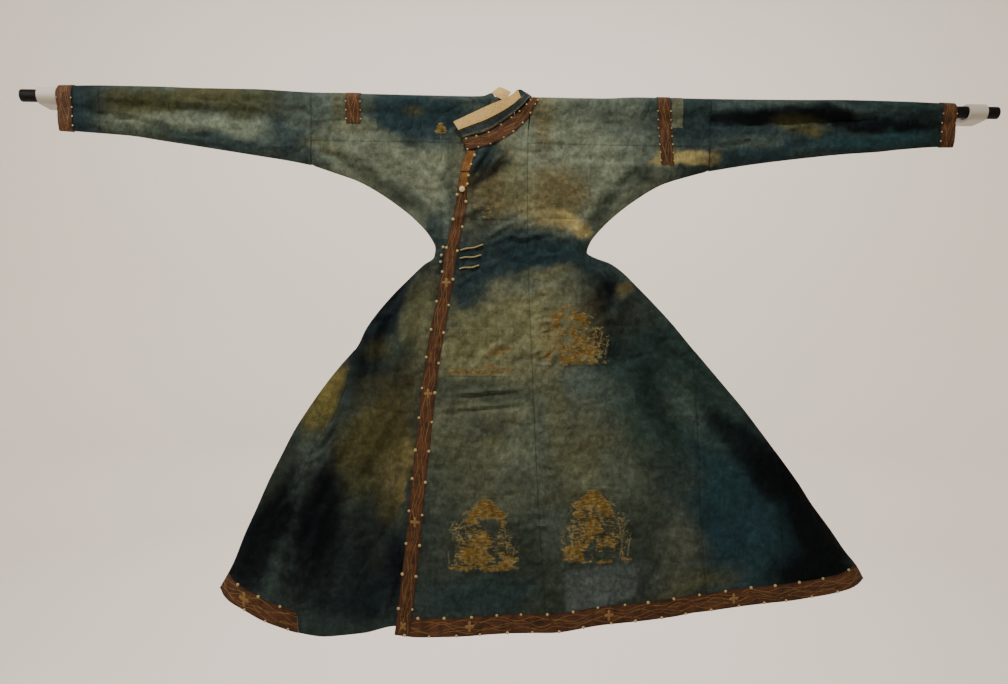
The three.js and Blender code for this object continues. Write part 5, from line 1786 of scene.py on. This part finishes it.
def add_patch(name, layer, at_x, at_z, wide, high, design, mirrored, strength, on):
    """A worn pattern: an open layer over the cloth, whose rim is sunk into it."""
    rng = np.random.default_rng(len(name) * 7 + int(abs(at_x)))
    rows, columns = int(high / PATCH_STEP) + 2, int(wide / PATCH_STEP) + 2
    v, u = np.meshgrid(np.linspace(1, -1, rows), np.linspace(-1, 1, columns), indexing="ij")
    x = at_x + u * wide / 2
    h = row_through(layer, x, at_z + v * high / 2)
    gold, thread = design(u * DESIGN_HALF * mirrored, v * DESIGN_HALF, rng)
    ragged = smooth(cloud(x, h, 30, 90) + 0.75, 0.1, 0.8)
    rim = smooth(1 - np.maximum(np.abs(u), np.abs(v)), 0.0, 0.05)
    gold, thread = gold * ragged * strength * rim, thread * ragged * strength * rim
    out = mix(-CLOTH, PATCH_LIFT, rim) + PATCH_RELIEF * np.maximum(gold, thread)
    over = place(layer, x, h, out)
    tone = tone_at(layer, x, over[..., 2]).reshape(-1, 3)
    faces = grid_faces(rows, columns)
    faces = faces[:, ::-1] if layer == "back" else faces
    layers = {"tone": tone, "gold": gold.ravel(), "thread": thread.ravel()}
    on.append(piece(name, add_mesh(name, over.reshape(-1, 3), faces, silk, layers), "silk"))


def add_sleeve_patch(name, left, right, low, front):
    """A woven striped patch that goes over the shoulder beside the arm band."""
    heights = np.linspace(low, 0, int(-low / 2) + 2)
    count = 2 * len(heights) + len(ARCS)
    xs = np.linspace(left, right, 20)
    x = np.broadcast_to(xs[:, None], (len(xs), count))
    shares = np.linspace(-1, 1, count)
    keep = shares < 0.35  # the patch ends a little way down the back
    across = np.linspace(-1, 1, len(xs))[:, None]
    u, v = np.broadcast_arrays(across * DESIGN_HALF, shares[keep] * DESIGN_HALF)
    over, under = (over_rod(x, heights, out, front)[:, keep] for out in (0.7, 0.2))
    gold, thread = stripes(u, v)
    rim = np.minimum(1, 8 * (1 - np.abs(u) / DESIGN_HALF)) * 0.45
    tone = np.broadcast_to(mix(DYE["olive"], DYE["slate"], 0.5), over.shape)
    obj = add_wall(name, over, under, silk, {"tone": tone, "gold": gold * rim, "thread": thread * rim})
    ON_SLEEVES.append(piece(name, obj, "silk"))


# ---------------------------------------------------------------- rod and brackets
def finish_rod():
    black = plain_material("satin_black", "#070708", 0.5, 90, 0.0003, specular=0.12)
    # The brackets are white; their grey colour is painted shade, for the shadow that they hang in.
    shade_painted_white = plain_material("bracket_shade_painted_white", "#a39d92", 0.45, 60, 0.0002)
    for name, material in [("rod", black), ("bracket_left", shade_painted_white), ("bracket_right", shade_painted_white)]:
        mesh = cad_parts[name].data
        mesh.materials.clear()
        mesh.materials.append(material)
        mesh.shade_smooth()
        mesh.set_sharp_from_angle(angle=math.radians(35))


# ---------------------------------------------------------------- studio
ROOM = [(0.0002, -2.1), (3.0, -2.1), (5.0, -2.05), (6.1, -1.5), (6.5, 0.0), (6.5, 3.4)]  # reach, z
ROOM_SIDES = 64


def add_room():
    """A pale bowl, open above, that serves as floor and backdrop all round."""
    turns = np.linspace(0, 2 * math.pi, ROOM_SIDES, endpoint=False)
    ring = np.stack([np.cos(turns), np.sin(turns), np.zeros(ROOM_SIDES)], -1)
    points = np.array([ring * reach + [0, 0, z] for reach, z in ROOM]).reshape(-1, 3) / MM
    faces = grid_faces(len(ROOM), ROOM_SIDES, ring=True)
    wall = plain_material("pale_wall", "#f0e8de", 0.9, specular=0.1)
    add_mesh("room", points, faces, wall, sharp=80)


# Name, place, target, width, height, power, colour.
LIGHTS = [
    ("key", (-0.4, -1.5, 2.3), (0.0, 0, -0.55), 0.8, 0.35, 135, (1.0, 0.955, 0.90)),
    ("side", (-2.3, -0.8, 0.4), (0.1, 0, -0.7), 0.4, 0.5, 30, (1.0, 0.96, 0.91)),
    ("behind", (0.4, 2.6, 2.4), (0, 0, -0.5), 2.6, 1.4, 90, (1.0, 0.96, 0.92)),
    ("backdrop", (0.0, 2.4, 2.6), (0.0, 6.4, 0.4), 4.0, 1.0, 190, (1.0, 0.97, 0.93)),
]


def add_lights():
    for name, spot, target, wide, high, power, colour in LIGHTS:
        data = bpy.data.lights.new(name, "AREA")
        data.shape = "RECTANGLE"
        data.size, data.size_y = wide, high
        data.energy = power
        data.color = colour
        obj = bpy.data.objects.new(name, data)
        obj.location = spot
        obj.rotation_euler = (Vector(target) - Vector(spot)).to_track_quat("-Z", "Y").to_euler()
        bpy.context.scene.collection.objects.link(obj)
    world = bpy.data.worlds.new("room_light")
    world.use_nodes = True
    glow = world.node_tree.nodes["Background"].inputs
    glow["Color"].default_value, glow["Strength"].default_value = ROOM_TINT, ROOM_STRENGTH
    bpy.context.scene.world = world


ROOM_TINT, ROOM_STRENGTH = (1.0, 0.95, 0.89, 1), 0.28
CAMERA_PLACE = (-0.0910, -1.920, -0.57105)
CAMERA_LENS = 28.57
CAMERA_YAW, CAMERA_ROLL = 1.8, -0.5  # degrees, to the right and about the view's own axis


def add_camera():
    data = bpy.data.cameras.new("camera")
    data.lens = CAMERA_LENS
    data.sensor_width = 36
    camera = bpy.data.objects.new("camera", data)
    yaw = Matrix.Rotation(math.radians(-CAMERA_YAW), 4, "Z")
    roll = Matrix.Rotation(math.radians(CAMERA_ROLL), 4, "Y")
    upright = Matrix.Rotation(math.radians(90), 4, "X")
    camera.matrix_world = Matrix.Translation(CAMERA_PLACE) @ yaw @ roll @ upright
    bpy.context.scene.collection.objects.link(camera)
    bpy.context.scene.camera = camera


# ---------------------------------------------------------------- the robe
add_panels()
add_sleeve("sleeve_left", "left", SLEEVE_SEAM["left"] - SEAM, CUFF_SEAM["left"] + SEAM / 2)
add_sleeve("sleeve_right", "right", SLEEVE_SEAM["right"] + SEAM, CUFF_SEAM["right"] - SEAM / 2)
add_sleeve("cuff_left", "left", CUFF_SEAM["left"] - SEAM / 2, CUFF_END["left"])
add_sleeve("cuff_right", "right", CUFF_SEAM["right"] + SEAM / 2, CUFF_END["right"])
add_shoulder("shoulder_left", "left", "inner")
add_shoulder("shoulder_right", "right", "outer")
add_borders()
add_border_knots()
add_border_flowers()
add_neck_border()
add_arm_band("arm_band_left", -54, -411, -410, 34, "inner")
add_arm_band("arm_band_right", -142, 332, 343, 31, "outer")
add_cuff_border("border_cuff_left", "left")
add_cuff_border("border_cuff_right", "right")
add_collar()
add_inner_collar()
add_back_collar()
add_buttons()
for number, cord_row in enumerate(CORDS, 1):
    add_cord(f"cord_waist_{number}", *cord_row)
for name, layer, *patch in PATCHES:
    add_patch(name, layer, *patch, SEWN_ON[layer])
add_sleeve_patch("gold_arm_left", -445, -411, -47, "inner")
add_sleeve_patch("gold_arm_right", 366, 394, -53, "outer")
finish_rod()

add_room()
add_lights()
add_camera()
